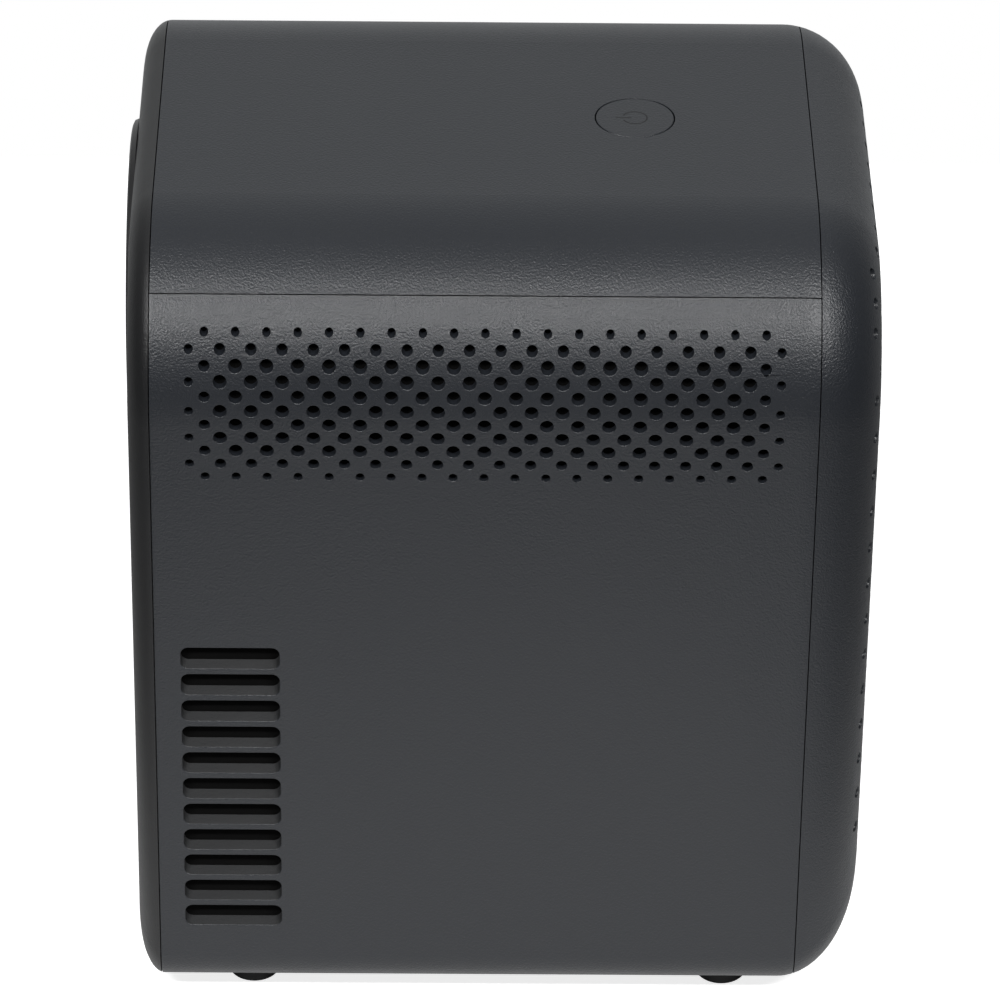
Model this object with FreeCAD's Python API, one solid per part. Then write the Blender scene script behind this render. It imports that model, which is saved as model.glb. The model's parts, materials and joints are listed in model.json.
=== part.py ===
# Upright home projector with a built-in disc player.
# Frame: -Y is the front (lens and disc tray), +Z is up, and +X is the side that the fans blow out of.
# The origin is on the floor, under the middle of the whole object. Millimetres and degrees.
import FreeCAD
import Part
import math
import os

Vec = FreeCAD.Vector
X_AXIS = Vec(1, 0, 0)
Y_AXIS = Vec(0, 1, 0)
Z_AXIS = Vec(0, 0, 1)
ORIGIN = Vec(0, 0, 0)
SIDES = (-1, 1)

# ---------------------------------------------------------------- shared clearances
fit_gap = 0.3                  # between parts that are pushed or screwed together
slide_gap = 0.4                # between sliding parts and their guides
running_gap = 0.05             # radial, between a shaft and its bore
mesh_gap = 0.1                 # between the pitch lines of meshed teeth
seat_gap = 0.02                # between faces that lie against each other
root = 0.5                     # how far an added form reaches into what it stands on
spare = 1.0                    # how far a cutting tool reaches past what it cuts

# ---------------------------------------------------------------- casing
body_width = 171.0
body_height = 225.5
shell_length = 172.4
bezel_depth = 6.1
rear_depth = 17.0
wall = 2.5
bezel_face = 2.6
rear_wall = 2.4
top_corner_radius = 44.0
bottom_corner_radius = 12.0
least_corner = 2.0             # smallest radius that the wall leaves at a corner
corner_shrink = 0.6            # share of an end's rounding that the top corner radius loses
front_round_depth = 7.0        # how far behind the front face its rounding starts
front_round_side = 11.0        # how far that rounding comes in from each side
front_round_top = 10.0
front_round_low = 12.5
rear_round_depth = 21.5
rear_round_side = 20.0
rear_round_top = 20.0
rear_round_low = 26.0
round_steps = 6                # sections that each end's rounding is lofted through
seam_gap = 0.3
seam_rise = 1.3                # of the top cover's seams above the middles of the top corners' rounding
tongue_length = 4.0
tongue_thickness = 1.4
tongue_hold = 2.0              # how far a tongue reaches into the moulding that carries it

# vents in both sides
vent_pitch = 8.0               # between holes in one row
vent_row_pitch = 3.92
vent_rows = 11
vent_margin = 9.0              # least distance from a seam to a vent hole's centre
vent_first_row_drop = 19.75    # below the top of the casing
vent_hole_radius = 1.72
vent_hole_radius_second = 1.38
vent_hole_radius_edge = 1.1
slot_count = 11
slot_pitch = 8.4
slot_length = 26.05
slot_height = 6.7
slot_corner_radius = 2.1
slot_ramp = 1.5                # how far a slot's lower face rises from outside to inside
slot_first_rise = 112.9        # of the highest slot's top edge above the base
slot_from_front_seam = 6.9
screen_thickness = 1.2         # of the dust screens behind the openings
screen_margin = 2.2            # how far a screen reaches past the openings before it

# perforated back
grille_pitch = 11.1            # between holes in one row
grille_row_pitch = 5.65        # rows are staggered by half the pitch
grille_margin = 11.5           # clear rim between the casing's outline and the outermost holes
grille_first_rise = 41.3       # of the lowest row above the base
grille_hole_radius = 1.5

# feet, screws and the stand thread under the base
foot_height = 4.0
foot_radius = 7.0
foot_edge_radius = 1.0
foot_spigot_radius = 2.5
foot_spigot_length = 2.0
foot_from_side = 16.0
foot_from_front_seam = 24.9
foot_from_rear_seam = 19.2
screw_radius = 1.5
screw_head_radius = 2.8
screw_head_height = 1.8
screw_length = 14.0
screw_clearance = 0.15
screw_recess_width = 0.8       # of each arm of the cross recess, and its depth
screw_recess_length = 3.6
screw_boss_radius = 3.4
screw_front_setback = 52.0     # behind the front face
screw_rear_setback = 24.0      # before the disc drive's rear end
stand_thread_radius = 2.6
stand_insert_radius = 4.6
stand_insert_length = 8.0
stand_boss_wall = 2.4

# lens and focus drive
lens_below_top = 51.9
ring_outer_radius = 44.2
ring_stand_out = 1.8
ring_rim = 1.5                 # rounding of its outer edge
ring_flange_width = 3.6
ring_lip = 1.2                 # the flange's part inside the bezel's hole
ring_wall = 1.6
ring_depth = 16.0
ring_collar = 3.0              # its reach behind the bezel's wall
ring_corner_chamfer = 0.45     # cut by the outer edge's two facets
ring_inner_chamfer = 0.4
ring_skirt = 2.0               # by which the dish is thicker at its narrow end
ring_round_barrel = 4.0        # clear width between the dish's narrow end and the barrel
barrel_radius = 26.0
barrel_wall = 2.0
barrel_setback = 4.0           # of the barrel's rim behind the front face, focused as near as it goes
barrel_into_engine = 1.15
barrel_edge = 0.6
barrel_step = 1.0              # by which its bore narrows behind the front lens
barrel_stop = 2.5              # depth of the step behind the front lens
barrel_rear_lip = 5.0
front_lens_seat = 2.0          # of the front lens behind the barrel's rim
front_lens_depth = 8.0
front_lens_sag = 4.0
rear_lens_depth = 5.8
focus_travel = 6.0
sleeve_wall = 2.2
sleeve_length = 26.0
sleeve_flange_radius = 35.5
sleeve_flange = 3.0
gear_module = 1.0
gear_root_depth = 1.2          # in modules, below the pitch line
gear_tip_height = 0.85         # in modules, above the pitch line
tooth_root_share = 0.32        # half of a tooth's width at its root, as a share of the pitch
tooth_tip_share = 0.13
focus_ring_teeth = 70
focus_pinion_teeth = 12
focus_gear_width = 6.0
focus_motor_radius = 7.5
focus_motor_length = 12.0
focus_bracket_x = 20.0
focus_bracket_thickness = 1.0
focus_bracket_gap = 1.0        # between the bracket and the gears
focus_bracket_half_height = 5.0
focus_bracket_rise = 31.0      # of the bracket's top edge below the lens axis
shaft_radius = 1.5
shaft_reach = 6.0              # of a gear's own shaft into its motor

# light engine
engine_setback = 46.85         # of its front behind the front face
side_bay = 23.0                # clear width on each side of it
rear_bay = 20.65               # from its rear to the rear face
engine_wall = 2.0
engine_above_clamp = 13.1
light_path_share = 0.584       # of the height from the engine's floor to the lens axis
lamp_step = 6.0                # of the lower arm's front behind the upper arm's
engine_ear = 6.0
engine_ear_thickness = 3.0
engine_post_radius = 2.8
engine_post_front = 7.3        # behind the engine's front
engine_post_rear = 70.0
engine_ear_over = 3.0          # of an ear past the middle of its post
mirror_thickness = 2.0
mirror_inset = 6.0
panel_thickness = 3.0
panel_below_middle = 4.5
field_lens_above_middle = 2.0
collimator_setback = 14.0      # before the column
funnel_wall = 2.0
funnel_before_lens = 2.0
lamp_board_size = 40.0
lamp_board_thickness = 2.0
lamp_board_edge = 4.0          # of the board outside the engine's window
lamp_chip_size = 18.0
lamp_chip_height = 1.2
sink_base = 4.0
sink_fins = 11
sink_fin_thickness = 1.4
sink_depth = 34.0
sink_fan_gap = 3.8
sink_under_motor = 0.4         # clear height under the focus motor

# fans
fan_size = 40.0
fan_thickness = 20.0
fan_corner_radius = 3.0
fan_rim = 1.5
fan_screw_inset = 4.0
fan_screw_radius = 1.7
fan_struts = 3
fan_strut = 2.4
fan_strut_thickness = 2.0
fan_stator_thickness = 2.5
fan_blades = 7
fan_blade_thickness = 1.2
fan_blade_chord = 17.0
fan_blade_pitch = 50.0
fan_gap = 0.6
fan_hub_radius = 9.0
fan_end_gap = 2.0              # from the rotor to the frame's open end
fan_pin_setback = 4.0          # of the pin's end from the frame's open end
fan_behind_slots = 4.8         # from the middle of the slots back to the middle of the fans
fan_spacing = 0.5              # between the two frames
duct_depth = 9.2
duct_wall = 1.5

# disc drive: chassis and tray
disc_radius = 61.0             # of the tray's recess for a 120 mm disc
small_disc_radius = 41.0
disc_recess = 4.0
small_disc_recess = 0.8
drive_beside_disc = 11.0
drive_setback = 10.4           # of the rails behind the front face
drive_tab_setback = 4.0        # of the plate under the loading gears
drive_lift = 5.5               # of the chassis above the floor plate
drive_plate = 2.0
spindle_setback = 69.0         # behind the front face
rail_width = 6.0
rail_over_tray = 2.0
rail_gap = 2.0                 # between a rail and the tray's edge
runner_reach = 1.5             # of the tray's runners into the rails
rail_stop = 2.0                # closed rear end of a rail's groove
rear_bar_width = 4.0
rear_bar_height = 14.0
tray_rise = 30.0               # of the tray's top above the chassis base
tray_setback = 7.0             # behind the front face
tray_plate = 2.0
tray_rear_gap = 4.0            # before the chassis' rear end
tray_travel = 126.0
rack_over_gear = 4.0           # what the rack still has behind the gear with the tray out
rack_before_rear = 2.0
tray_window_half = 20.0
tray_front_height = 17.0
tray_front_thickness = 3.0
tray_front_over_top = 2.0      # of its upper edge above the tray's top
tray_front_over_runner = 1.0
tray_front_edge_radius = 0.6
tray_neck_inset = 6.0
rack_inset = 6.0               # of the rack's pitch line from the tray's edge
rack_back = 3.0                # thickness of the bar behind the teeth

# disc drive: loading gears and belt
tray_gear_teeth = 24
tray_gear_setback = 17.0       # behind the front face
load_gear_teeth = 14
load_pulley_radius = 12.0
motor_pulley_radius = 3.5
pulley_flange = 1.0
pulley_flange_thickness = 0.8
pulley_bevel = 0.4
pulley_belt_gap = 0.2          # between the belt and each flange
pulley_seat = 8.0              # of the pulley's underside above the chassis base
pulley_hub_radius = 4.0
motor_x = -22.0
load_motor_radius = 10.0
gear_width = 5.0
gear_hub_radius = 3.5
axle_radius = 1.5
axle_seat_radius = 3.0
tray_gear_seat = 15.0          # of its hub's stool above the chassis base
belt_size = 1.2
belt_play = 0.1

# disc drive: deck, spindle and pickup
deck_rise = 10.0               # above the chassis base
deck_thickness = 2.0
deck_gap = 0.5                 # between the deck and the plate in front of it
deck_half_width = 43.0
deck_window_rim = 2.0
deck_window_rear = 10.0
deck_before_spindle = 22.0
deck_behind_spindle = 73.0     # to its pivot
deck_pivot_edge = 2.0          # of the deck behind its pivot
deck_tilt = 3.0                # how far the deck tips down
deck_ear_gap = 2.0
deck_ear_thickness = 4.0
deck_ear_rise = 6.0            # above the deck's underside
deck_ear_reach = 5.0           # of an ear in front of the pivot
pivot_radius = 2.0
cam_travel = 14.0              # sideways, as the deck tips
cam_gap = 3.0                  # between the deck's front edge and the cam slide
cam_thickness = 3.0
cam_pin_radius = 1.2
cam_pin_over = 1.0             # of the pin past the cam slide
cam_end = 10.0                 # of the slide past each end of its slot
cam_over_pin = 5.0
cam_guide_height = 1.4         # above the chassis plate
cam_guide_thickness = 1.6
turntable_radius = 15.0
turntable_boss_radius = 7.4
turntable_boss_height = 1.2
turntable_boss_bevel = 1.5
turntable_skirt = 3.0
turntable_plate = 2.0
turntable_over_recess = 1.2    # of its face above the tray's floor
turntable_hub_radius = 5.0
spindle_motor_radius = 12.0
spindle_motor_height = 5.0
motor_spigot_radius = 2.9
motor_spigot_play = 0.1
rod_radius = 1.5
rod_x = 22.0
rod_rise = 4.5                 # above the deck's top
rod_post = 4.0                 # length of each post along the rod
rod_post_half = 3.0
rod_post_height = 7.0
rod_behind_spindle = 8.0
sled_length = 20.0
sled_travel = 36.0
sled_end_gap = 1.0
sled_low = 1.5                 # above the deck's top
sled_height = 7.0
sled_edge = 3.5                # outside the rods
pickup_from_edge = 9.0
rack_spare_teeth = 3           # past the gear at both ends of its travel
sled_notch_half = 9.0
sled_notch_depth = 4.0
pickup_radius = 5.0
pickup_height = 1.5
pickup_lens_radius = 2.2
pickup_lens_height = 0.8
sled_rack_x = 8.1              # of the rack's pitch line from the rod
sled_rack_rise = 3.0
sled_rack_height = 3.5
sled_gear_teeth = 12
sled_gear_width = 3.0
sled_gear_setback = 4.0        # before the sled's rear edge, as parked
sled_motor_radius = 5.5
sled_motor_length = 6.0
motor_end_wall = 1.2

# disc drive: clamp
puck_radius = 14.0
puck_plate = 2.0
puck_over_boss = 0.6
puck_neck_radius = 6.0
puck_head_radius = 10.0
puck_head_height = 1.7
bridge_gap = 2.5               # above the tray's top
bridge_thickness = 3.0
bridge_half_depth = 11.5
bridge_ring = 4.0              # of its boss outside the puck
bridge_bore_radius = 7.0
bridge_pad_half = 2.5

# sockets, boards and loudspeakers
board_thickness = 1.6
port_recess = 8.6              # of the socket panel's face before the rear face
port_panel_from_side = 23.5
port_panel_rise = 12.0         # of its lower edge above the base
port_panel_height = 25.0
port_frame = 2.0
connector_reach = 12.0
connector_metal = 0.5
connector_tongue = 0.8         # half thickness
main_board_share = -0.48       # place of the board's left edge in the panel's half width
main_board_over = 6.0          # of its right edge past the panel's opening
main_board_rise = 7.0          # above the base
main_board_height = 51.0
connector_back = 2.0
connector_tongue_inset = 1.6
# place in the panel's half width, width, height and the tongue's rise of each socket
socket_row = ((-0.13, 15.4, 6.4, 0.0), (0.226, 15.4, 6.4, 0.0), (0.532, 13.6, 6.6, 0.8))
jack_row = (0.742, 0.887)
# place in the panel's half width, half length, rise, height and thickness of each chip
main_board_chips = ((-0.113, 9.0, 33.0, 14.0, 2.2), (0.258, 6.0, 35.0, 10.0, 1.6),
                    (0.6, 7.0, 35.0, 14.0, 5.0))
jack_radius = 3.0
jack_bore_radius = 1.75
inlet_share = -0.71
inlet_back = 3.0
inlet_half_width = 12.0
inlet_half_height = 7.0
inlet_lobe = 4.3               # half distance between the pins, and each lobe's radius
inlet_pin_radius = 1.2
inlet_pin_length = 9.0
inlet_flange = 3.0
inlet_flange_thickness = 1.5
supply_stand_off = 4.0
supply_length = 80.0
supply_height = 92.0
supply_rise = 12.0             # above the engine's underside
supply_front = 32.0            # behind the engine's front
# setback from the board's front edge, length, rise, height and depth of each block
supply_blocks = ((26.0, 26.0, 20.0, 26.0, 15.0), (8.0, 12.0, 60.0, 22.0, 12.0))
supply_capacitor_setback = 66.0
supply_capacitor_rises = (20.0, 40.0)
supply_capacitor_radius = 7.0
supply_capacitor_length = 14.0
supply_post_setbacks = (6.0, 26.0)
supply_post_rises = (6.0, 38.0)
supply_post_radius = 3.0
speaker_radius = 26.0
speaker_depth = 20.0
speaker_magnet_radius = 12.0
speaker_magnet_depth = 8.0
speaker_basket_step = 3.0
speaker_rim = 3.0
speaker_surround = 2.0
speaker_surround_width = 3.5
speaker_cone_depth = 8.0
speaker_cap_radius = 9.0
speaker_cap_rise = 2.0
speaker_x = 28.0
speaker_rise = 23.4            # above the engine's underside

# buttons
button_radius = 10.35
button_gap = 0.3
button_from_rear_seam = 46.48
button_travel = 0.6
button_edge_radius = 0.25
button_flange = 1.2
button_flange_over = 1.0
button_stem_radius = 2.0
button_board_drop = 6.2        # of the switch board below the top cover's inside
button_board_width = 36.0
button_board_depth = 16.0
button_boss_x = 15.0
button_boss_radius = 3.0
button_boss_bore = 1.2
switch_size = 6.0
switch_height = 3.0
switch_play = 0.15             # between a pressed button and its switch
eject_radius = 3.6
eject_edge_radius = 0.3
eject_collar = 1.0
eject_from_side = 28.5
eject_card_half_width = 5.0
eject_above_tray = 8.5         # between the tray's front panel and the button's centre
eject_travel = 0.6
eject_peg_z = 6.7
eject_peg_radius = 1.8
eject_switch_size = 4.0
eject_switch_height = 1.6
ir_window_radius = 2.8
ir_window_flange = 1.5
ir_window_thickness = 1.0      # of its flange

# ---------------------------------------------------------------- places worked out from the sizes
half_width = body_width / 2
diagonal = math.sqrt(0.5)
base_z = foot_height
floor_z = base_z + wall
top_z = base_z + body_height
total_length = ring_stand_out + bezel_depth + shell_length + rear_depth
front_face_y = -total_length / 2 + ring_stand_out
front_seam_y = front_face_y + bezel_depth
rear_seam_y = front_seam_y + shell_length
rear_face_y = total_length / 2
shell_middle_y = (front_seam_y + rear_seam_y) / 2
button_y = rear_seam_y - button_from_rear_seam
lens_z = top_z - lens_below_top

drive_base_z = floor_z + drive_lift
drive_half_width = disc_radius + drive_beside_disc
rail_inner_x = drive_half_width - rail_width
rail_x = drive_half_width - rail_width / 2
tray_top_z = drive_base_z + tray_rise
tray_floor_z = tray_top_z - disc_recess
tray_low_z = tray_floor_z - tray_plate
tray_half_width = rail_inner_x - rail_gap
rail_top_z = tray_top_z + rail_over_tray
runner_x = rail_inner_x + runner_reach
rack_x = tray_half_width - rack_inset
tray_front_half_width = runner_x + tray_front_over_runner
tray_front_z = tray_top_z + tray_front_over_top - tray_front_height / 2
eject_z = tray_front_z + tray_front_height / 2 + eject_above_tray
spindle_y = front_face_y + spindle_setback
tray_gear_y = front_face_y + tray_gear_setback
deck_z = drive_base_z + deck_rise
deck_top_z = deck_z + deck_thickness
deck_front_y = spindle_y - deck_before_spindle
deck_pivot_y = spindle_y + deck_behind_spindle
deck_pivot_z = deck_z + deck_thickness / 2
tray_front_y = front_face_y + tray_setback
tray_rear_y = tray_gear_y + tray_travel + rack_over_gear + rack_before_rear
drive_rear_y = tray_rear_y + tray_rear_gap
cam_y = deck_front_y - cam_gap - cam_thickness
bridge_z = tray_top_z + bridge_gap
turntable_z = tray_floor_z + turntable_over_recess
disc_seat_z = turntable_z + turntable_boss_height
clamp_top_z = bridge_z + bridge_thickness + fit_gap + puck_head_height

engine_half_width = half_width - wall - side_bay
engine_front_y = front_face_y + engine_setback
engine_low_z = clamp_top_z + engine_above_clamp
light_path = (lens_z - engine_wall - engine_low_z) * light_path_share   # clear height of each arm
column_rear_y = rear_face_y - rear_bay
column_front_y = column_rear_y - light_path
lamp_y = engine_front_y + lamp_step
engine_post_rows = (engine_front_y + engine_post_front, engine_front_y + engine_post_rear)
lower_path_z = engine_low_z + engine_wall
lamp_z = lower_path_z + light_path / 2
lower_path_top_z = lower_path_z + light_path
upper_path_z = lens_z - light_path / 2
upper_path_top_z = lens_z + light_path / 2
fan_x = half_width - wall - duct_depth - fan_thickness
fan_rows = (("lower", lamp_z - (fan_size + fan_spacing) / 2),
            ("upper", lamp_z + (fan_size + fan_spacing) / 2))
fan_y = front_seam_y + slot_from_front_seam + slot_length / 2 + fan_behind_slots
port_panel_y = rear_face_y - port_recess
board_y = port_panel_y - port_frame - connector_reach
port_panel_half_width = half_width - port_panel_from_side
port_panel_low_z = base_z + port_panel_rise
port_panel_high_z = port_panel_low_z + port_panel_height
port_z = (port_panel_low_z + port_panel_high_z) / 2
inlet_x = inlet_share * port_panel_half_width
eject_x = half_width - eject_from_side
button_board_z = top_z - wall - button_board_drop
eject_key_y = front_face_y + bezel_face + slide_gap + eject_collar
eject_board_y = eject_key_y + eject_travel + switch_play + eject_switch_height


def pitch_radius(teeth):
    return teeth * gear_module / 2


tray_gear_x = rack_x - mesh_gap - pitch_radius(tray_gear_teeth)
load_gear_x = tray_gear_x - pitch_radius(tray_gear_teeth) - mesh_gap - pitch_radius(load_gear_teeth)
gear_z = tray_low_z - gear_width
focus_gear_y = engine_front_y - sleeve_flange - fit_gap - focus_gear_width
focus_pinion_z = lens_z - pitch_radius(focus_ring_teeth) - pitch_radius(focus_pinion_teeth) - mesh_gap
sink_half_height = focus_pinion_z - focus_motor_radius - sink_under_motor - lamp_z
rod_front_y = spindle_y + rod_behind_spindle
rod_z = deck_top_z + rod_rise
sled_start_y = rod_front_y + rod_post + sled_end_gap
rod_rear_y = sled_start_y + sled_length + sled_travel + sled_end_gap + rod_post
sled_rack_z = deck_top_z + sled_rack_rise
sled_gear_x = rod_x + sled_rack_x + mesh_gap + pitch_radius(sled_gear_teeth)
sled_gear_y = sled_start_y + sled_length - sled_gear_setback


# ---------------------------------------------------------------- small helpers
def box(x0, x1, y0, y1, z0, z1):
    return Part.makeBox(x1 - x0, y1 - y0, z1 - z0, Vec(x0, y0, z0))


def slab(middle_x, half_x, y0, y1, z0, z1):
    return box(middle_x - half_x, middle_x + half_x, y0, y1, z0, z1)


def rod(centre, axis, radius, length):
    return Part.makeCylinder(radius, length, centre, axis)


def bore(centre, axis, radius, length):
    """Cutter for a hole of this length; it reaches past both ends."""
    return rod(centre - axis * spare, axis, radius, length + 2 * spare)


def tube(centre, axis, outer, inner, length):
    return rod(centre, axis, outer, length).cut(bore(centre, axis, inner, length))


def join(shapes):
    whole = shapes[0].multiFuse(shapes[1:]) if len(shapes) > 1 else shapes[0]
    return whole.removeSplitter()


def cut(shape, tools):
    return shape.cut(Part.makeCompound(tools)) if tools else shape


def polygon_face(points):
    return Part.Face(Part.makePolygon(points + [points[0]]))


def side_prism(points, x0, x1):
    return polygon_face([Vec(x0, y, z) for y, z in points]).extrude(Vec(x1 - x0, 0, 0))


def lathe_y(profile, x, z):
    """Solid of revolution about a line along Y; the profile is a list of (radius, y)."""
    face = polygon_face([Vec(x + r, y, z) for r, y in profile])
    return face.revolve(Vec(x, 0, z), Y_AXIS, 360)


def lathe_z(profile, x, y):
    """Solid of revolution about a vertical line; the profile is a list of (radius, z)."""
    face = polygon_face([Vec(x + r, y, z) for r, z in profile])
    return face.revolve(Vec(x, y, 0), Z_AXIS, 360)


def save(name, shape):
    """Writes one sub-part; each of its solids is closed."""
    solids = shape.Solids
    out = solids[0] if len(solids) == 1 else Part.makeCompound(solids)
    out.exportStep("parts/%s.step" % name)


def tooth_corners(root_place, tip_place):
    """The four corners of a straight-sided tooth: (place from root to tip, share of the pitch)."""
    return ((root_place, -tooth_root_share), (tip_place, -tooth_tip_share),
            (tip_place, tooth_tip_share), (root_place, tooth_root_share))


def gear(teeth, width, bore_radius):
    """Spur gear about Z with its first tooth on +X."""
    root_radius = pitch_radius(teeth) - gear_root_depth * gear_module
    tip_radius = pitch_radius(teeth) + gear_tip_height * gear_module
    turn = 2 * math.pi / teeth
    points = []
    for i in range(teeth):
        for radius, share in tooth_corners(root_radius, tip_radius):
            a = (i + share) * turn
            points.append(Vec(radius * math.cos(a), radius * math.sin(a), 0))
    blank = polygon_face(points).extrude(Vec(0, 0, width))
    return blank.cut(bore(ORIGIN, Z_AXIS, bore_radius, width))


def rack(pitch_x, way, back_x, y0, y1, gap_y, z0, z1):
    """Rack along Y: its teeth point to way on X, with the middle of a tooth gap at gap_y."""
    pitch = math.pi * gear_module
    root_x = pitch_x - way * gear_root_depth * gear_module
    tip_x = pitch_x + way * gear_tip_height * gear_module
    edges = sorted((back_x, root_x + way * seat_gap))
    forms = [box(edges[0], edges[1], y0, y1, z0, z1)]
    for i in range(math.ceil((y0 - gap_y) / pitch), math.floor((y1 - gap_y) / pitch)):
        middle = gap_y + (i + 0.5) * pitch
        corners = [Vec(x, middle + share * pitch, z0) for x, share in tooth_corners(root_x, tip_x)]
        forms.append(polygon_face(corners).extrude(Vec(0, 0, z1 - z0)))
    return forms


def along_y(shape):
    """Turns a shape made about Z so that it stands about Y, with its first tooth pointing down."""
    shape.rotate(ORIGIN, X_AXIS, -90)
    shape.rotate(ORIGIN, Y_AXIS, 90)
    return shape


def screw(x, y, head_z):
    """Pan-head screw driven upwards; head_z is the underside of the part that it holds."""
    low = head_z - screw_head_height
    half_arm = screw_recess_length / 2
    half_width_of_arm = screw_recess_width / 2
    head = rod(Vec(x, y, low), Z_AXIS, screw_head_radius, screw_head_height)
    recess = [slab(x, half_arm, y - half_width_of_arm, y + half_width_of_arm, low, low + screw_recess_width),
              slab(x, half_width_of_arm, y - half_arm, y + half_arm, low, low + screw_recess_width)]
    return cut(head, recess).fuse(rod(Vec(x, y, head_z), Z_AXIS, screw_radius, screw_length))


# ---------------------------------------------------------------- casing
def corner_arc(x, y, z, radius, sx, sz):
    """Ends and middle of a quarter arc, in the order that runs anticlockwise seen from the front."""
    points = [Vec(x + sx * radius, y, z),
              Vec(x + sx * radius * diagonal, y, z + sz * radius * diagonal),
              Vec(x, y, z + sz * radius)]
    return points if sx * sz > 0 else points[::-1]


def section(y, inset, side=0.0, top=0.0, low=0.0):
    """Outline of the casing across Y: big round top corners and small bottom ones. The side, top
    and low amounts draw those edges in further, as the rounding at each end does."""
    top_r = max(top_corner_radius - inset - corner_shrink * min(side, top), least_corner)
    low_r = max(bottom_corner_radius - inset, least_corner)
    w = half_width - inset - side
    z_low = base_z + inset + low
    z_high = top_z - inset - top
    corners = [corner_arc(w - top_r, y, z_high - top_r, top_r, 1, 1),
               corner_arc(-(w - top_r), y, z_high - top_r, top_r, -1, 1),
               corner_arc(-(w - low_r), y, z_low + low_r, low_r, -1, -1),
               corner_arc(w - low_r, y, z_low + low_r, low_r, 1, -1)]
    edges = []
    for corner, following in zip(corners, corners[1:] + corners[:1]):
        edges.append(Part.Arc(*corner).toShape())
        edges.append(Part.LineSegment(corner[-1], following[0]).toShape())
    return Part.Wire(edges)


def prism(y0, y1, inset):
    return Part.Face(section(y0, inset)).extrude(Vec(0, y1 - y0, 0))


def end_rounding(start_y, face_y, inset, side, top, low):
    """Rounded end of the casing, lofted through the steps of a quarter ellipse."""
    wires = []
    for i in range(round_steps + 1):
        a = math.radians(90.0 * i / round_steps)
        share = 1 - math.cos(a)
        y = start_y + (face_y - start_y) * math.sin(a)
        wires.append(section(y, inset, side * share, top * share, low * share))
    return Part.makeLoft(wires, True, False)


def envelope(inset, front_inset, rear_inset):
    """The casing's whole outer shape, or its inside when the insets are the walls."""
    y0 = front_face_y + front_round_depth
    y1 = rear_face_y - rear_round_depth
    front = end_rounding(y0, front_face_y + front_inset, inset,
                         front_round_side, front_round_top, front_round_low)
    rear = end_rounding(y1, rear_face_y - rear_inset, inset,
                        rear_round_side, rear_round_top, rear_round_low)
    return prism(y0, y1, inset).multiFuse([front, rear])


def roof_wedge(drop):
    """Everything above the two seams that run at 45 degrees through the top corners."""
    cx = half_width - top_corner_radius
    cz = top_z - top_corner_radius + seam_rise - drop
    far = 2 * top_corner_radius
    y0 = front_face_y - spare
    points = [Vec(-cx, y0, cz), Vec(-cx - far, y0, cz + far), Vec(cx + far, y0, cz + far), Vec(cx, y0, cz)]
    return polygon_face(points).extrude(Vec(0, total_length, 0))


def y_slab(y0, y1):
    return box(-body_width, body_width, y0, y1, -spare, top_z + spare)


def vent_tools(side):
    """Hole cutters for the perforated band; rows are short and long in turn, edges are finer."""
    radii = (vent_hole_radius_edge, vent_hole_radius_second, vent_hole_radius)
    short_row = int((shell_length - 2 * vent_margin) / vent_pitch)
    x = half_width - top_corner_radius / 2
    tools = []
    for row in range(vent_rows):
        long_row = row % 2
        count = short_row + long_row
        z = top_z - vent_first_row_drop - row * vent_row_pitch
        rows_in = min(row, vent_rows - 1 - row)
        for k in range(count):
            columns_in = 2 * min(k, count - 1 - k) + 1 - long_row
            radius = radii[min(rows_in, columns_in, len(radii) - 1)]
            y = shell_middle_y + (k - (count - 1) / 2) * vent_pitch
            tools.append(rod(Vec(side * x, y, z), X_AXIS * side, radius, half_width + spare - x))
    return tools


def rounded_outline(x, y0, y1, z0, z1, radius):
    """Closed wire of a rounded rectangle that faces along X."""
    corners = ((y1 - radius, z0 + radius), (y1 - radius, z1 - radius),
               (y0 + radius, z1 - radius), (y0 + radius, z0 + radius))
    arcs = []
    for i, (y, z) in enumerate(corners):
        turns = [math.radians(90 * i - 90 + step) for step in (0, 45, 90)]
        arcs.append([Vec(x, y + radius * math.cos(a), z + radius * math.sin(a)) for a in turns])
    edges = []
    for i, arc in enumerate(arcs):
        edges.append(Part.LineSegment(arcs[i - 1][-1], arc[0]).toShape())
        edges.append(Part.Arc(*arc).toShape())
    return Part.Wire(edges)


def slot_tools(side):
    """Louvre cutters: slots with rounded corners whose lower side ramps up towards the inside."""
    y0 = front_seam_y + slot_from_front_seam
    y1 = y0 + slot_length
    slope = slot_ramp / wall
    tools = []
    for i in range(slot_count):
        z1 = base_z + slot_first_rise - i * slot_pitch
        z0 = z1 - slot_height
        wires = [rounded_outline(side * x, y0, y1, z0 + slope * (half_width - x), z1, slot_corner_radius)
                 for x in (half_width + spare, half_width - wall - spare)]
        tools.append(Part.makeLoft(wires, True, True))
    return tools


def grille_tools():
    """Hole cutters for the back: staggered rows that keep a margin to the casing's outline."""
    step = grille_pitch / 2
    corner_x = half_width - top_corner_radius
    corner_z = top_z - top_corner_radius
    reach = top_corner_radius - grille_margin
    low_z = base_z + grille_first_rise
    columns = int((half_width - grille_margin) / step)
    rows = int((top_z - grille_margin - low_z) / grille_row_pitch) + 1
    length = rear_depth + spare
    tools = []
    for i in range(rows):
        z = low_z + i * grille_row_pitch
        for k in range(-columns, columns + 1):
            beyond = math.hypot(max(abs(k * step) - corner_x, 0), max(z - corner_z, 0))
            if (i + k) % 2 == 0 and beyond <= reach:
                tools.append(rod(Vec(k * step, rear_seam_y, z), Y_AXIS, grille_hole_radius, length))
    return tools


def foot_places():
    x = half_width - foot_from_side
    rows = (front_seam_y + foot_from_front_seam, rear_seam_y - foot_from_rear_seam)
    return [(sx * x, y) for sx in SIDES for y in rows]


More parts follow.
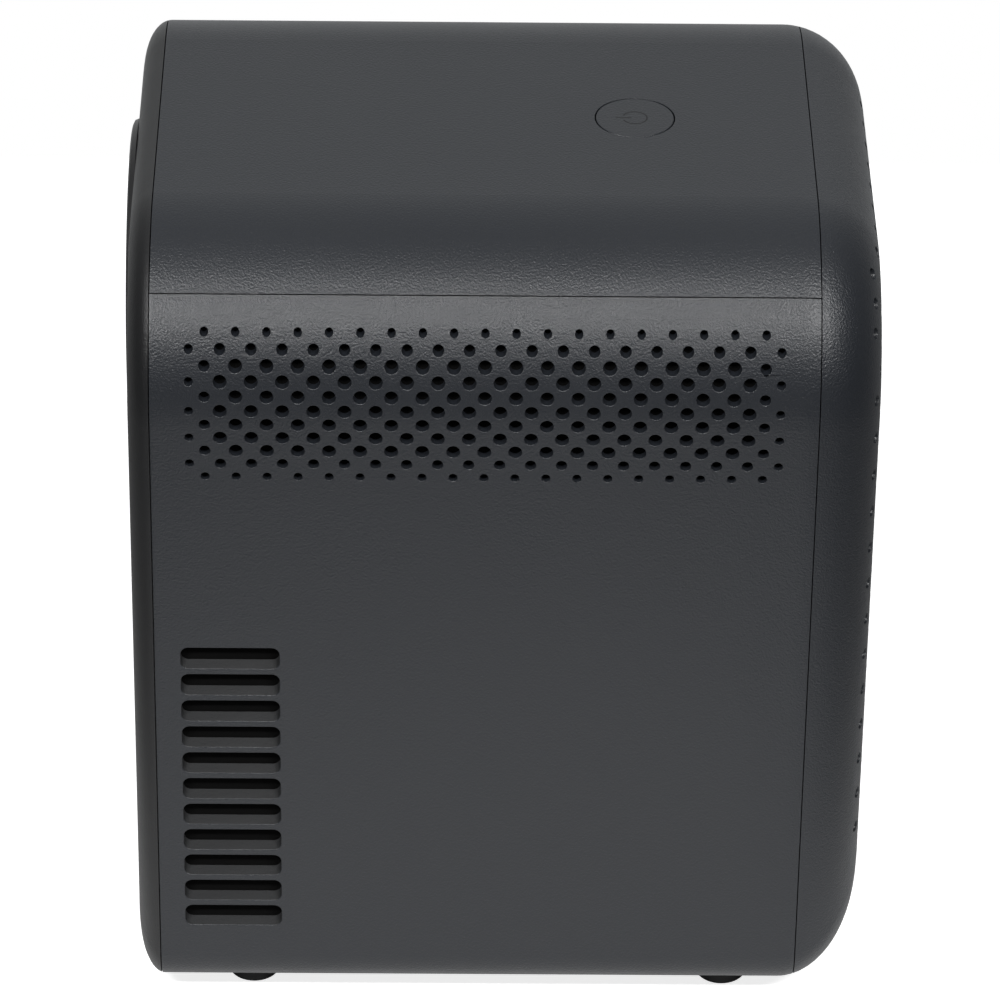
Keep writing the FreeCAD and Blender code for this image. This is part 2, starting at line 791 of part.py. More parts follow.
def drive_screw_places():
    rows = (front_face_y + screw_front_setback, drive_rear_y - screw_rear_setback)
    return [(sx * rail_x, y) for sx in SIDES for y in rows]


def hoop(y0, y1, inset, thickness):
    """Wall that follows the casing's outline."""
    return prism(y0, y1, inset).cut(prism(y0 - spare, y1 + spare, inset + thickness))


def build_lower_shell(middle):
    lower = middle.cut(roof_wedge(seam_gap * diagonal))
    boss_z = floor_z - root
    bosses = [rod(Vec(x, y, boss_z), Z_AXIS, screw_boss_radius, drive_base_z - boss_z)
              for x, y in drive_screw_places()]
    bosses.append(rod(Vec(0, 0, boss_z), Z_AXIS, stand_insert_radius + stand_boss_wall,
                      base_z + stand_insert_length - boss_z))
    holes = vent_tools(1) + vent_tools(-1) + slot_tools(1) + slot_tools(-1)
    below = base_z - spare
    for x, y in drive_screw_places():
        holes.append(rod(Vec(x, y, below), Z_AXIS, screw_radius + screw_clearance, drive_base_z))
        holes.append(rod(Vec(x, y, below), Z_AXIS, screw_head_radius + 2 * screw_clearance,
                         screw_head_height + spare))
    for x, y in foot_places():
        holes.append(rod(Vec(x, y, below), Z_AXIS, foot_spigot_radius + running_gap,
                         foot_spigot_length + running_gap + spare))
    holes.append(bore(Vec(0, 0, base_z), Z_AXIS, stand_insert_radius, stand_insert_length))
    save("lower_shell", cut(join([lower] + bosses), holes))


def build_top_cover(middle):
    over_seam = roof_wedge(-seam_gap * diagonal)
    y0 = front_seam_y + tongue_length + spare
    y1 = rear_face_y - rear_round_depth - tongue_length - spare
    lip_inset = wall + fit_gap
    lip = hoop(y0, y1, lip_inset, tongue_thickness).common(roof_wedge(tongue_length + tongue_hold))
    lip = lip.cut(roof_wedge(-spare))
    hold = hoop(y0, y1, wall - root, root + fit_gap + tongue_thickness).common(over_seam)
    hold = hold.cut(roof_wedge(-spare - tongue_hold))
    bosses = [tube(Vec(sx * button_boss_x, button_y, button_board_z), Z_AXIS, button_boss_radius,
                   button_boss_bore, button_board_drop + fit_gap) for sx in SIDES]
    hole = bore(Vec(0, button_y, top_z - wall), Z_AXIS, button_radius + button_gap, wall)
    save("top_cover", join([middle.common(over_seam), lip, hold] + bosses).cut(hole))


def build_bezel(shell):
    face = front_face_y
    inner_y = face + bezel_face
    body = shell.common(y_slab(face - spare, front_seam_y - seam_gap / 2))
    tongue = hoop(front_seam_y - tongue_hold, front_seam_y + tongue_length, wall + fit_gap, tongue_thickness)
    pegs = [rod(Vec(eject_x, inner_y - root, eject_z + sz * eject_peg_z), Y_AXIS, eject_peg_radius,
                eject_board_y - inner_y + root) for sz in SIDES]
    half_slot = tray_front_height / 2 + fit_gap
    behind = front_seam_y + tongue_length + spare
    holes = [rod(Vec(0, face - spare, lens_z), Y_AXIS, ring_outer_radius - ring_flange_width + fit_gap,
                 behind - face),
             slab(0, tray_front_half_width + fit_gap, face - spare, behind,
                  tray_front_z - half_slot, tray_front_z + half_slot),
             bore(Vec(eject_x, face, eject_z), Y_AXIS, eject_radius + fit_gap, bezel_face),
             bore(Vec(-eject_x, face, eject_z), Y_AXIS, ir_window_radius + running_gap, bezel_face)]
    save("front_bezel", cut(join([body, tongue] + pegs), holes))
    window = rod(Vec(-eject_x, face, eject_z), Y_AXIS, ir_window_radius, bezel_face + root)
    collar = rod(Vec(-eject_x, inner_y + seat_gap, eject_z), Y_AXIS, ir_window_radius + ir_window_flange,
                 ir_window_thickness)
    save("ir_window", window.fuse(collar))


def build_rear_cover(shell, outer):
    lead = (rear_round_depth - rear_depth) / (rear_round_depth - rear_wall)
    drawn_in = rear_round_low * (1 - math.cos(math.asin(lead)))
    inset = wall + drawn_in + mesh_gap
    y0 = rear_face_y - rear_round_depth - tongue_length
    seam = rear_seam_y + seam_gap / 2
    y1 = seam + tongue_hold + spare
    tongue = hoop(y0, y1, inset, tongue_thickness)
    hold = hoop(seam, y1, wall - root, inset - wall + root + tongue_thickness).common(outer)
    frame_half = port_panel_half_width + port_frame
    well = slab(0, frame_half, port_panel_y, rear_face_y + spare, port_panel_low_z - port_frame,
                port_panel_high_z + port_frame).common(outer)
    body = shell.common(y_slab(seam, rear_face_y + spare))
    opening = slab(0, port_panel_half_width, port_panel_y - spare, rear_face_y + spare,
                   port_panel_low_z, port_panel_high_z)
    save("rear_cover", cut(join([body, well, tongue, hold]), [opening] + grille_tools()))


def build_casing():
    outer = envelope(0.0, 0.0, 0.0)
    shell = outer.cut(envelope(wall, bezel_face, rear_wall))
    middle = shell.common(y_slab(front_seam_y + seam_gap / 2, rear_seam_y - seam_gap / 2))
    build_lower_shell(middle)
    build_top_cover(middle)
    build_bezel(shell)
    build_rear_cover(shell, outer)


def build_dust_screens():
    """One sheet behind each band of vents and each column of slots."""
    sheet = hoop(front_seam_y + tongue_length + fit_gap,
                 rear_face_y - rear_round_depth - tongue_length - fit_gap, wall + seat_gap, screen_thickness)
    sheet = sheet.cut(roof_wedge(tongue_length + tongue_hold + 2 * fit_gap))
    high = top_z - vent_first_row_drop + screen_margin
    low = top_z - vent_first_row_drop - (vent_rows - 1) * vent_row_pitch - screen_margin - vent_hole_radius
    bands = sheet.common(box(-body_width, body_width, -total_length, total_length, low, high))
    y0 = front_seam_y + slot_from_front_seam
    z1 = base_z + slot_first_rise
    z0 = z1 - (slot_count - 1) * slot_pitch - slot_height
    columns = sheet.common(box(-body_width, body_width, -total_length, y0 + slot_length + screen_margin,
                               z0 - screen_margin, z1 + screen_margin))
    save("dust_screens", Part.makeCompound(bands.Solids + columns.Solids))


def build_base_parts():
    feet = []
    for x, y in foot_places():
        pad = rod(Vec(x, y, 0), Z_AXIS, foot_radius, foot_height)
        pad = pad.makeFillet(foot_edge_radius, [e for e in pad.Edges if e.BoundBox.ZMax < foot_edge_radius])
        feet.append(pad.fuse(rod(Vec(x, y, base_z), Z_AXIS, foot_spigot_radius, foot_spigot_length)))
    save("feet", Part.makeCompound(feet))
    screws = [screw(x, y, base_z + screw_head_height) for x, y in drive_screw_places()]
    save("base_screws", Part.makeCompound(screws))
    save("stand_insert", tube(Vec(0, 0, base_z), Z_AXIS, stand_insert_radius, stand_thread_radius,
                              stand_insert_length))


# ---------------------------------------------------------------- lens and focus drive
def build_lens_ring():
    face = front_face_y
    out = face - ring_stand_out
    hole = ring_outer_radius - ring_flange_width
    dish_front = hole - ring_lip
    dish_back = barrel_radius + ring_round_barrel
    back = face + ring_depth
    collar = face + bezel_face + ring_collar
    ring = lathe_y([(hole, face), (ring_outer_radius, face), (ring_outer_radius, out + ring_rim),
                    (ring_outer_radius - ring_corner_chamfer, out + ring_corner_chamfer),
                    (ring_outer_radius - ring_rim, out), (dish_front + ring_inner_chamfer, out),
                    (dish_front, out + ring_inner_chamfer), (dish_back, back),
                    (dish_back + ring_wall + ring_skirt, back), (dish_front + ring_wall, collar),
                    (hole, collar)], 0, lens_z)
    save("lens_ring", ring)


def build_barrel():
    front = front_face_y + barrel_setback + focus_travel
    rear = engine_front_y + barrel_into_engine
    inner = barrel_radius - barrel_wall
    seat = front + front_lens_seat + front_lens_depth
    narrow = inner - barrel_step
    stop = inner - barrel_stop
    lip = narrow - barrel_rear_lip
    barrel = lathe_y([(inner, front), (barrel_radius - barrel_edge, front),
                      (barrel_radius, front + barrel_edge), (barrel_radius, rear),
                      (lip, rear), (lip, rear - barrel_wall),
                      (narrow, rear - barrel_wall), (narrow, seat + barrel_wall), (stop, seat + barrel_wall),
                      (stop, seat), (inner, seat)], 0, lens_z)
    save("lens_barrel", barrel)
    glass = inner - mesh_gap
    curve = (glass ** 2 + front_lens_sag ** 2) / (2 * front_lens_sag)
    pole = front + front_lens_seat
    cap = Part.makeSphere(curve, Vec(0, pole + curve, lens_z)).common(
        rod(Vec(0, pole, lens_z), Y_AXIS, glass, front_lens_sag))
    edge = rod(Vec(0, pole + front_lens_sag, lens_z), Y_AXIS, glass, front_lens_depth - front_lens_sag)
    save("front_lens", cap.fuse(edge).removeSplitter())
    save("rear_lens", rod(Vec(0, rear - barrel_wall - fit_gap - rear_lens_depth, lens_z), Y_AXIS,
                          narrow - mesh_gap, rear_lens_depth))


def build_focus_drive():
    rear = engine_front_y
    sleeve_in = barrel_radius + running_gap
    sleeve_out = sleeve_in + sleeve_wall
    sleeve = lathe_y([(sleeve_in, rear - sleeve_length), (sleeve_out, rear - sleeve_length),
                      (sleeve_out, rear - sleeve_flange), (sleeve_flange_radius, rear - sleeve_flange),
                      (sleeve_flange_radius, rear), (sleeve_in, rear)], 0, lens_z)
    save("lens_sleeve", sleeve)
    wheel = along_y(gear(focus_ring_teeth, focus_gear_width, sleeve_out + running_gap))
    wheel.translate(Vec(0, focus_gear_y, lens_z))
    save("focus_ring", wheel)
    pinion = gear(focus_pinion_teeth, focus_gear_width, shaft_radius).fuse(
        rod(Vec(0, 0, -shaft_reach), Z_AXIS, shaft_radius, focus_gear_width + shaft_reach))
    pinion.rotate(ORIGIN, Z_AXIS, 180.0 / focus_pinion_teeth)
    pinion = along_y(pinion)
    pinion.translate(Vec(0, focus_gear_y, focus_pinion_z))
    save("focus_pinion", pinion)

    plate_y = focus_gear_y - focus_bracket_gap - focus_bracket_thickness
    can_y = plate_y - focus_motor_length
    low = focus_pinion_z - focus_bracket_half_height
    half = focus_bracket_thickness
    can = rod(Vec(0, can_y, focus_pinion_z), Y_AXIS, focus_motor_radius, focus_motor_length)
    plate = slab(0, focus_bracket_x + half, plate_y, plate_y + focus_bracket_thickness,
                 low, focus_pinion_z + focus_bracket_half_height)
    legs = [slab(sx * focus_bracket_x, half, plate_y, rear, low, lens_z - focus_bracket_rise) for sx in SIDES]
    bearing = rod(Vec(0, can_y + motor_end_wall, focus_pinion_z), Y_AXIS, shaft_radius + running_gap,
                  focus_motor_length + spare)
    save("focus_motor", join([can, plate] + legs).cut(bearing))


# ---------------------------------------------------------------- light engine
def engine_outline(inset):
    """Side view of the folded light path, drawn in from the engine's outside by inset: lower arm,
    column and upper arm, with 45-degree corners behind the mirrors."""
    w = engine_wall - inset
    k = w * (math.sqrt(2) - 1)
    lamp = lamp_y + inset
    front = engine_front_y + inset
    return [(lamp, lower_path_z - w), (column_front_y + k, lower_path_z - w),
            (column_rear_y + w, lower_path_top_z - k), (column_rear_y + w, upper_path_z + k),
            (column_front_y + k, upper_path_top_z + w), (front, upper_path_top_z + w),
            (front, upper_path_z - w), (column_front_y - w, upper_path_z - w),
            (column_front_y - w, lower_path_top_z + w), (lamp, lower_path_top_z + w)]


def build_engine_housing():
    w = engine_half_width
    half_window = lamp_board_size / 2 - lamp_board_edge
    shell = side_prism(engine_outline(0.0), -w, w).cut(
        side_prism(engine_outline(engine_wall), -w + engine_wall, w - engine_wall))
    holes = [bore(Vec(0, engine_front_y, lens_z), Y_AXIS, barrel_radius + 2 * fit_gap, engine_wall),
             slab(0, half_window, lamp_y - spare, lamp_y + engine_wall + spare,
                  lamp_z - half_window, lamp_z + half_window)]
    ears = []
    for sx in SIDES:
        x0, x1 = sorted((sx * (w - root), sx * (rail_x + engine_ear_over)))
        for y in engine_post_rows:
            ears.append(box(x0, x1, y - engine_ear / 2, y + engine_ear / 2,
                            engine_low_z, engine_low_z + engine_ear_thickness))
    shell = join([cut(shell, holes)] + ears)
    for name, sx in (("left", -1), ("right", 1)):
        x0, x1 = sorted((sx * seam_gap / 2, sx * half_width))
        save("engine_half_" + name, shell.common(
            box(x0, x1, front_face_y, rear_face_y, engine_low_z - spare, top_z)))


def build_optics():
    x = engine_half_width - engine_wall - fit_gap
    y0 = column_front_y + mirror_inset
    y1 = column_rear_y - mirror_inset
    slant = fit_gap / diagonal
    thick = mirror_thickness / diagonal
    low = lower_path_z + mirror_inset + slant
    high = lower_path_top_z - mirror_inset + slant
    save("lower_mirror", side_prism([(y0, low), (y1, high), (y1, high + thick), (y0, low + thick)], -x, x))
    low = upper_path_z + mirror_inset - slant
    high = upper_path_top_z - mirror_inset - slant
    save("upper_mirror", side_prism([(y0, high), (y1, low), (y1, low - thick), (y0, high - thick)], -x, x))
    middle = (lower_path_top_z + upper_path_z) / 2
    y0 = column_front_y + fit_gap
    y1 = column_rear_y - fit_gap
    z = middle - panel_below_middle
    save("lcd_panel", box(-x, x, y0, y1, z, z + panel_thickness))
    z = middle + field_lens_above_middle
    save("field_lens", box(-x, x, y0, y1, z, z + mirror_thickness))
    y0 = column_front_y - collimator_setback
    save("collimator_lens", box(-x, x, y0, y0 + mirror_thickness, lower_path_z + fit_gap,
                                lower_path_top_z - fit_gap))


def rectangle(y, half_x, half_z):
    """Upright rectangle about the lamp's axis."""
    corners = [Vec(sx * half_x, y, lamp_z + sz * half_z) for sx, sz in ((-1, -1), (1, -1), (1, 1), (-1, 1))]
    return Part.makePolygon(corners + corners[:1])


def build_lamp():
    half = lamp_board_size / 2
    small = half - lamp_board_edge
    wide = engine_half_width - engine_wall - fit_gap
    tall = light_path / 2 - fit_gap
    f0 = lamp_y + engine_wall + fit_gap
    f1 = column_front_y - collimator_setback - funnel_before_lens
    outside = Part.makeLoft([rectangle(f0, small + funnel_wall, small + funnel_wall),
                             rectangle(f1, wide, tall)], True, True)
    inside = Part.makeLoft([rectangle(f0 - seat_gap, small, small),
                            rectangle(f1 + seat_gap, wide - funnel_wall, tall - funnel_wall)], True, True)
    save("light_funnel", outside.cut(inside))

    back = lamp_y - lamp_board_thickness
    chip = lamp_chip_size / 2
    save("lamp_module", slab(0, half, back, lamp_y, lamp_z - half, lamp_z + half).fuse(
        slab(0, chip, lamp_y, lamp_y + lamp_chip_height, lamp_z - chip, lamp_z + chip)))
    x = fan_x - sink_fan_gap
    z0 = lamp_z - sink_half_height
    step = (2 * sink_half_height - sink_fin_thickness) / (sink_fins - 1)
    base = slab(0, x, back - sink_base, back, z0, lamp_z + sink_half_height)
    fins = [slab(0, x, back - sink_depth, back - sink_base + root, z0 + i * step,
                 z0 + i * step + sink_fin_thickness) for i in range(sink_fins)]
    save("heat_sink", join([base] + fins))


# ---------------------------------------------------------------- fans
def fan_frame():
    """Square fan frame about Z, blowing along +Z, with its stator pin."""
    h = fan_size / 2
    opening = h - fan_rim
    hole = h - fan_screw_inset
    frame = box(-h, h, -h, h, 0, fan_thickness)
    upright = [e for e in frame.Edges if e.BoundBox.ZLength > fan_thickness / 2]
    frame = frame.makeFillet(fan_corner_radius, upright)
    holes = [bore(Vec(sx * hole, sy * hole, 0), Z_AXIS, fan_screw_radius, fan_thickness)
             for sx in SIDES for sy in SIDES]
    holes.append(bore(ORIGIN, Z_AXIS, opening, fan_thickness))
    struts = []
    for i in range(fan_struts):
        arm = box(0, opening + root, -fan_strut / 2, fan_strut / 2, 0, fan_strut_thickness)
        arm.rotate(ORIGIN, Z_AXIS, 90 + 360.0 * i / fan_struts)
        struts.append(arm)
    hub = rod(ORIGIN, Z_AXIS, fan_hub_radius, fan_stator_thickness)
    pin = rod(ORIGIN, Z_AXIS, shaft_radius, fan_thickness - fan_pin_setback)
    return join([cut(frame, holes), hub, pin] + struts)


def fan_rotor():
    z0 = fan_stator_thickness + fit_gap
    z1 = fan_thickness - fan_end_gap
    tip = fan_size / 2 - fan_rim - fan_gap
    half_chord = fan_blade_chord / 2
    half_blade = fan_blade_thickness / 2
    hub = rod(Vec(0, 0, z0), Z_AXIS, fan_hub_radius, z1 - z0)
    blades = []
    for i in range(fan_blades):
        blade = box(fan_hub_radius - spare, tip - root, -half_blade, half_blade, -half_chord, half_chord)
        blade.rotate(ORIGIN, X_AXIS, fan_blade_pitch)
        blade.translate(Vec(0, 0, (z0 + z1) / 2))
        blade.rotate(ORIGIN, Z_AXIS, 360.0 * i / fan_blades)
        blades.append(blade)
    rotor = join([hub] + blades).common(rod(Vec(0, 0, z0), Z_AXIS, tip, z1 - z0))
    bore_depth = fan_thickness - fan_pin_setback + fit_gap
    return rotor.cut(rod(ORIGIN, Z_AXIS, shaft_radius + running_gap, bore_depth))


def build_fans():
    for name, z in fan_rows:
        for kind, shape in (("frame", fan_frame()), ("rotor", fan_rotor())):
            shape.rotate(ORIGIN, Y_AXIS, 90)
            shape.translate(Vec(fan_x, fan_y, z))
            save("fan_%s_%s" % (kind, name), shape)
    x0 = fan_x + fan_thickness
    x1 = half_width - wall - screen_thickness - fit_gap
    h = fan_size / 2
    z0 = lamp_z - fan_size - fan_spacing / 2
    z1 = lamp_z + fan_size + fan_spacing / 2
    inner = h - duct_wall
    save("exhaust_duct", box(x0, x1, fan_y - h, fan_y + h, z0, z1).cut(
        box(x0 - spare, x1 + spare, fan_y - inner, fan_y + inner, z0 + duct_wall, z1 - duct_wall)))


# ---------------------------------------------------------------- disc drive
def build_chassis():
    low = drive_base_z
    plate_top = low + drive_plate
    foot_z = plate_top - root
    w = drive_half_width
    rail_y = front_face_y + drive_setback
    rails = [slab(sx * rail_x, rail_width / 2, rail_y, drive_rear_y, low, rail_top_z) for sx in SIDES]
    plate = slab(0, w - spare, rail_y, deck_front_y - deck_gap, low, plate_top)
    tab = box(motor_x - load_motor_radius - spare, tray_gear_x + axle_seat_radius + spare,
              front_face_y + drive_tab_setback, rail_y + root, low, plate_top)
    guide_rows = (cam_y - slide_gap - cam_guide_thickness, cam_y + cam_thickness + slide_gap)
    guide_half = 2 * cam_travel
    guides = [slab(0, guide_half, y, y + cam_guide_thickness, foot_z, plate_top + cam_guide_height)
              for y in guide_rows]
    bar = slab(0, w - spare, drive_rear_y - rear_bar_width, drive_rear_y, low, low + rear_bar_height)
    ear_x = deck_half_width + deck_ear_gap + deck_ear_thickness / 2
    ears = [slab(sx * ear_x, deck_ear_thickness / 2, deck_pivot_y - deck_ear_reach, drive_rear_y - root,
                 low, deck_z + deck_ear_rise) for sx in SIDES]
    posts = [rod(Vec(sx * rail_x, y, rail_top_z - root), Z_AXIS, engine_post_radius,
                 engine_low_z - rail_top_z + root) for sx in SIDES for y in engine_post_rows]
    pads = [slab(sx * rail_x, bridge_pad_half, spindle_y - bridge_half_depth, spindle_y + bridge_half_depth,
                 rail_top_z - root, bridge_z) for sx in SIDES]
    axle_top = gear_z + gear_width - slide_gap
    axles = []
    for x, seat in ((tray_gear_x, tray_gear_seat), (load_gear_x, pulley_seat)):
        axles.append(rod(Vec(x, tray_gear_y, foot_z), Z_AXIS, axle_radius, axle_top - foot_z))
        axles.append(rod(Vec(x, tray_gear_y, foot_z), Z_AXIS, axle_seat_radius, low + seat - foot_z))
    chassis = join(rails + [plate, tab, bar] + guides + ears + posts + pads + axles)
    groove_x = (rail_inner_x + runner_x) / 2
    groove_half = (runner_x - rail_inner_x) / 2 + slide_gap
    tools = [slab(sx * groove_x, groove_half, rail_y - spare, drive_rear_y - rail_stop,
                  tray_low_z - slide_gap, tray_floor_z + slide_gap) for sx in SIDES]
    tools.append(rod(Vec(-w, deck_pivot_y, deck_pivot_z), X_AXIS, pivot_radius + running_gap, 2 * w))
    for x, y in drive_screw_places():
        tools.append(rod(Vec(x, y, low - spare), Z_AXIS, screw_radius + seat_gap, screw_length))
    save("drive_chassis", cut(chassis, tools))


def build_tray():
    w = tray_half_width
    y0, y1 = tray_front_y, tray_rear_y
    deep = disc_recess + small_disc_recess + tray_plate + spare
    plate = slab(0, w, y0, y1, tray_low_z, tray_top_z)
    holes = [rod(Vec(0, spindle_y, tray_floor_z), Z_AXIS, disc_radius, deep),
             rod(Vec(0, spindle_y, tray_floor_z - small_disc_recess), Z_AXIS, small_disc_radius, deep),
             rod(Vec(0, spindle_y, tray_low_z - spare), Z_AXIS, tray_window_half, deep),
             slab(0, tray_window_half, spindle_y, y1 + spare, tray_low_z - spare, tray_top_z + spare)]
    runner_half = (runner_x - w + root) / 2
    runners = [slab(sx * (runner_x - runner_half), runner_half, y0, y1, tray_low_z, tray_floor_z)
               for sx in SIDES]
    rack_root_x = rack_x + gear_root_depth * gear_module
    teeth = rack(rack_x, -1, rack_root_x + rack_back, y0 + spare, y1 - rack_before_rear, tray_gear_y,
                 gear_z, tray_low_z + root)
    save("disc_tray", join([cut(plate, holes)] + runners + teeth))

    low = tray_front_z - tray_front_height / 2
    panel = slab(0, tray_front_half_width, front_face_y, front_face_y + tray_front_thickness,
                 low, low + tray_front_height)
    rim = [e for e in panel.Edges if e.BoundBox.YMax < front_face_y + root]
    panel = panel.makeFillet(tray_front_edge_radius, rim)
    neck = slab(0, w - tray_neck_inset, front_face_y + tray_front_thickness - root, y0,
                tray_low_z, tray_top_z)
    save("tray_front", join([panel, neck]))


def pulley_rim(radius, low):
    """Profile of a belt groove between two flanges, from its lower edge up."""
    edge = radius + pulley_flange
    groove_low = low + pulley_flange_thickness + pulley_bevel
    groove_high = groove_low + belt_size + 2 * pulley_belt_gap
    return [(edge, low), (edge, groove_low - pulley_bevel), (radius, groove_low), (radius, groove_high),
            (edge, groove_high + pulley_bevel), (edge, groove_high + pulley_bevel + pulley_flange_thickness)]


def belt_loop(extra, low):
    """Flat outline of the belt's path round both pulleys, at this distance outside their grooves."""
    y = tray_gear_y
    big, small = load_pulley_radius + extra, motor_pulley_radius + extra
    lean = math.asin((big - small) / (load_gear_x - motor_x))
    c, s = math.cos(lean), math.sin(lean)
    big_x = load_gear_x - big * s
    small_x = motor_x - small * s
    big_rear, big_front = Vec(big_x, y + big * c, low), Vec(big_x, y - big * c, low)
    small_rear, small_front = Vec(small_x, y + small * c, low), Vec(small_x, y - small * c, low)
    edges = [Part.Arc(big_front, Vec(load_gear_x + big, y, low), big_rear).toShape(),
             Part.LineSegment(big_rear, small_rear).toShape(),
             Part.Arc(small_rear, Vec(motor_x - small, y, low), small_front).toShape(),
             Part.LineSegment(small_front, big_front).toShape()]
    return Part.Face(Part.Wire(edges)).extrude(Vec(0, 0, belt_size))


def build_loading_drive():
    y = tray_gear_y
    axle_bore = axle_radius + running_gap
    tooth_width = gear_width - slide_gap
    wheel = gear(tray_gear_teeth, tooth_width, axle_bore)
    wheel.translate(Vec(tray_gear_x, y, gear_z))
    hub_z = drive_base_z + tray_gear_seat + fit_gap
    hub = tube(Vec(tray_gear_x, y, hub_z), Z_AXIS, gear_hub_radius, axle_bore,
               gear_z + seat_gap - hub_z)
    save("tray_gear", wheel.fuse(hub))

    small = gear(load_gear_teeth, tooth_width, axle_bore)
    small.rotate(ORIGIN, Z_AXIS, 180.0 / load_gear_teeth)
    small.translate(Vec(load_gear_x, y, gear_z))
    low = drive_base_z + pulley_seat + fit_gap
    rim = pulley_rim(load_pulley_radius, low)
    top = rim[-1][1]
    hub_top = gear_z + seat_gap
    pulley = lathe_z([(axle_bore, low)] + rim + [(pulley_hub_radius, top), (pulley_hub_radius, hub_top),
                                                 (axle_bore, hub_top)], load_gear_x, y)
    save("loading_pulley", pulley.fuse(small))

    shaft_low = low - shaft_reach + spare
    save("motor_pulley", lathe_z([(0, shaft_low), (shaft_radius, shaft_low), (shaft_radius, low)]
                                 + pulley_rim(motor_pulley_radius, low) + [(0, top)], motor_x, y))
    can_low = drive_base_z + drive_plate
    can = rod(Vec(motor_x, y, can_low), Z_AXIS, load_motor_radius, low - fit_gap - can_low)
    shaft_hole = rod(Vec(motor_x, y, shaft_low - fit_gap), Z_AXIS, shaft_radius + running_gap,
                     shaft_reach + spare)
    save("loading_motor", can.cut(shaft_hole))
    belt_z = low + pulley_flange_thickness + pulley_bevel + pulley_belt_gap
    save("loading_belt", belt_loop(belt_play + belt_size, belt_z).cut(belt_loop(belt_play, belt_z)))


def build_deck():
    low, top = deck_z, deck_top_z
    w = deck_half_width
    edge_y = deck_pivot_y + deck_pivot_edge
    window_x = rod_x - rod_post_half - deck_window_rim
    plate = slab(0, w, deck_front_y, edge_y, low, top)
    window = slab(0, window_x, spindle_y + spindle_motor_radius + deck_window_rim,
                  deck_pivot_y - deck_window_rear, low - spare, top + spare)
    ear_room = deck_ear_gap + deck_ear_thickness
    pins = []
    for sx in SIDES:
        x = min(sx * (w - root), sx * (w + ear_room))
        pins.append(rod(Vec(x, deck_pivot_y, deck_pivot_z), X_AXIS, pivot_radius, ear_room + root))
    cam_pin = rod(Vec(0, deck_front_y + root, deck_pivot_z), -Y_AXIS, cam_pin_radius,
                  root + cam_gap + cam_thickness + cam_pin_over)
    posts = []
    for sx in SIDES:
        for y in (rod_front_y, rod_rear_y - rod_post):
            posts.append(slab(sx * rod_x, rod_post_half, y, y + rod_post, top - root, top + rod_post_height))
    rods = [rod(Vec(sx * rod_x, rod_front_y, rod_z), Y_AXIS, rod_radius, rod_rear_y - rod_front_y)
            for sx in SIDES]
    hole_radius = motor_spigot_radius + motor_spigot_play
    holes = [rod(Vec(x, y, low - spare), Z_AXIS, hole_radius, deck_thickness + 2 * spare)
             for x, y in ((0, spindle_y), (sled_gear_x, sled_gear_y))]
    save("traverse_deck", cut(join([plate.cut(window), cam_pin] + pins + posts), rods + holes))
    save("guide_rods", Part.makeCompound(rods))


def build_spindle():
    low, top = deck_z, deck_top_z
    motor_top = top + spindle_motor_height
    body = rod(Vec(0, spindle_y, top), Z_AXIS, spindle_motor_radius, spindle_motor_height)
    spigot = rod(Vec(0, spindle_y, low - root), Z_AXIS, motor_spigot_radius, deck_thickness + 2 * root)
    shaft_z = low + motor_end_wall
    hole = rod(Vec(0, spindle_y, shaft_z - fit_gap), Z_AXIS, shaft_radius + running_gap, motor_top - low)
    save("spindle_motor", join([body, spigot]).cut(hole))
    skirt_z = motor_top + fit_gap
    skirt = spindle_motor_radius - spare
    neck_z = skirt_z + turntable_skirt
    under_z = turntable_z - turntable_plate
    save("turntable", lathe_z([(0, shaft_z), (shaft_radius, shaft_z), (shaft_radius, skirt_z),
                               (skirt, skirt_z), (skirt, neck_z), (turntable_hub_radius, neck_z + spare),
                               (turntable_hub_radius, under_z - root), (turntable_radius, under_z),
                               (turntable_radius, turntable_z), (turntable_boss_radius, turntable_z),
                               (turntable_boss_radius - turntable_boss_bevel, disc_seat_z), (0, disc_seat_z)],
                              0, spindle_y))


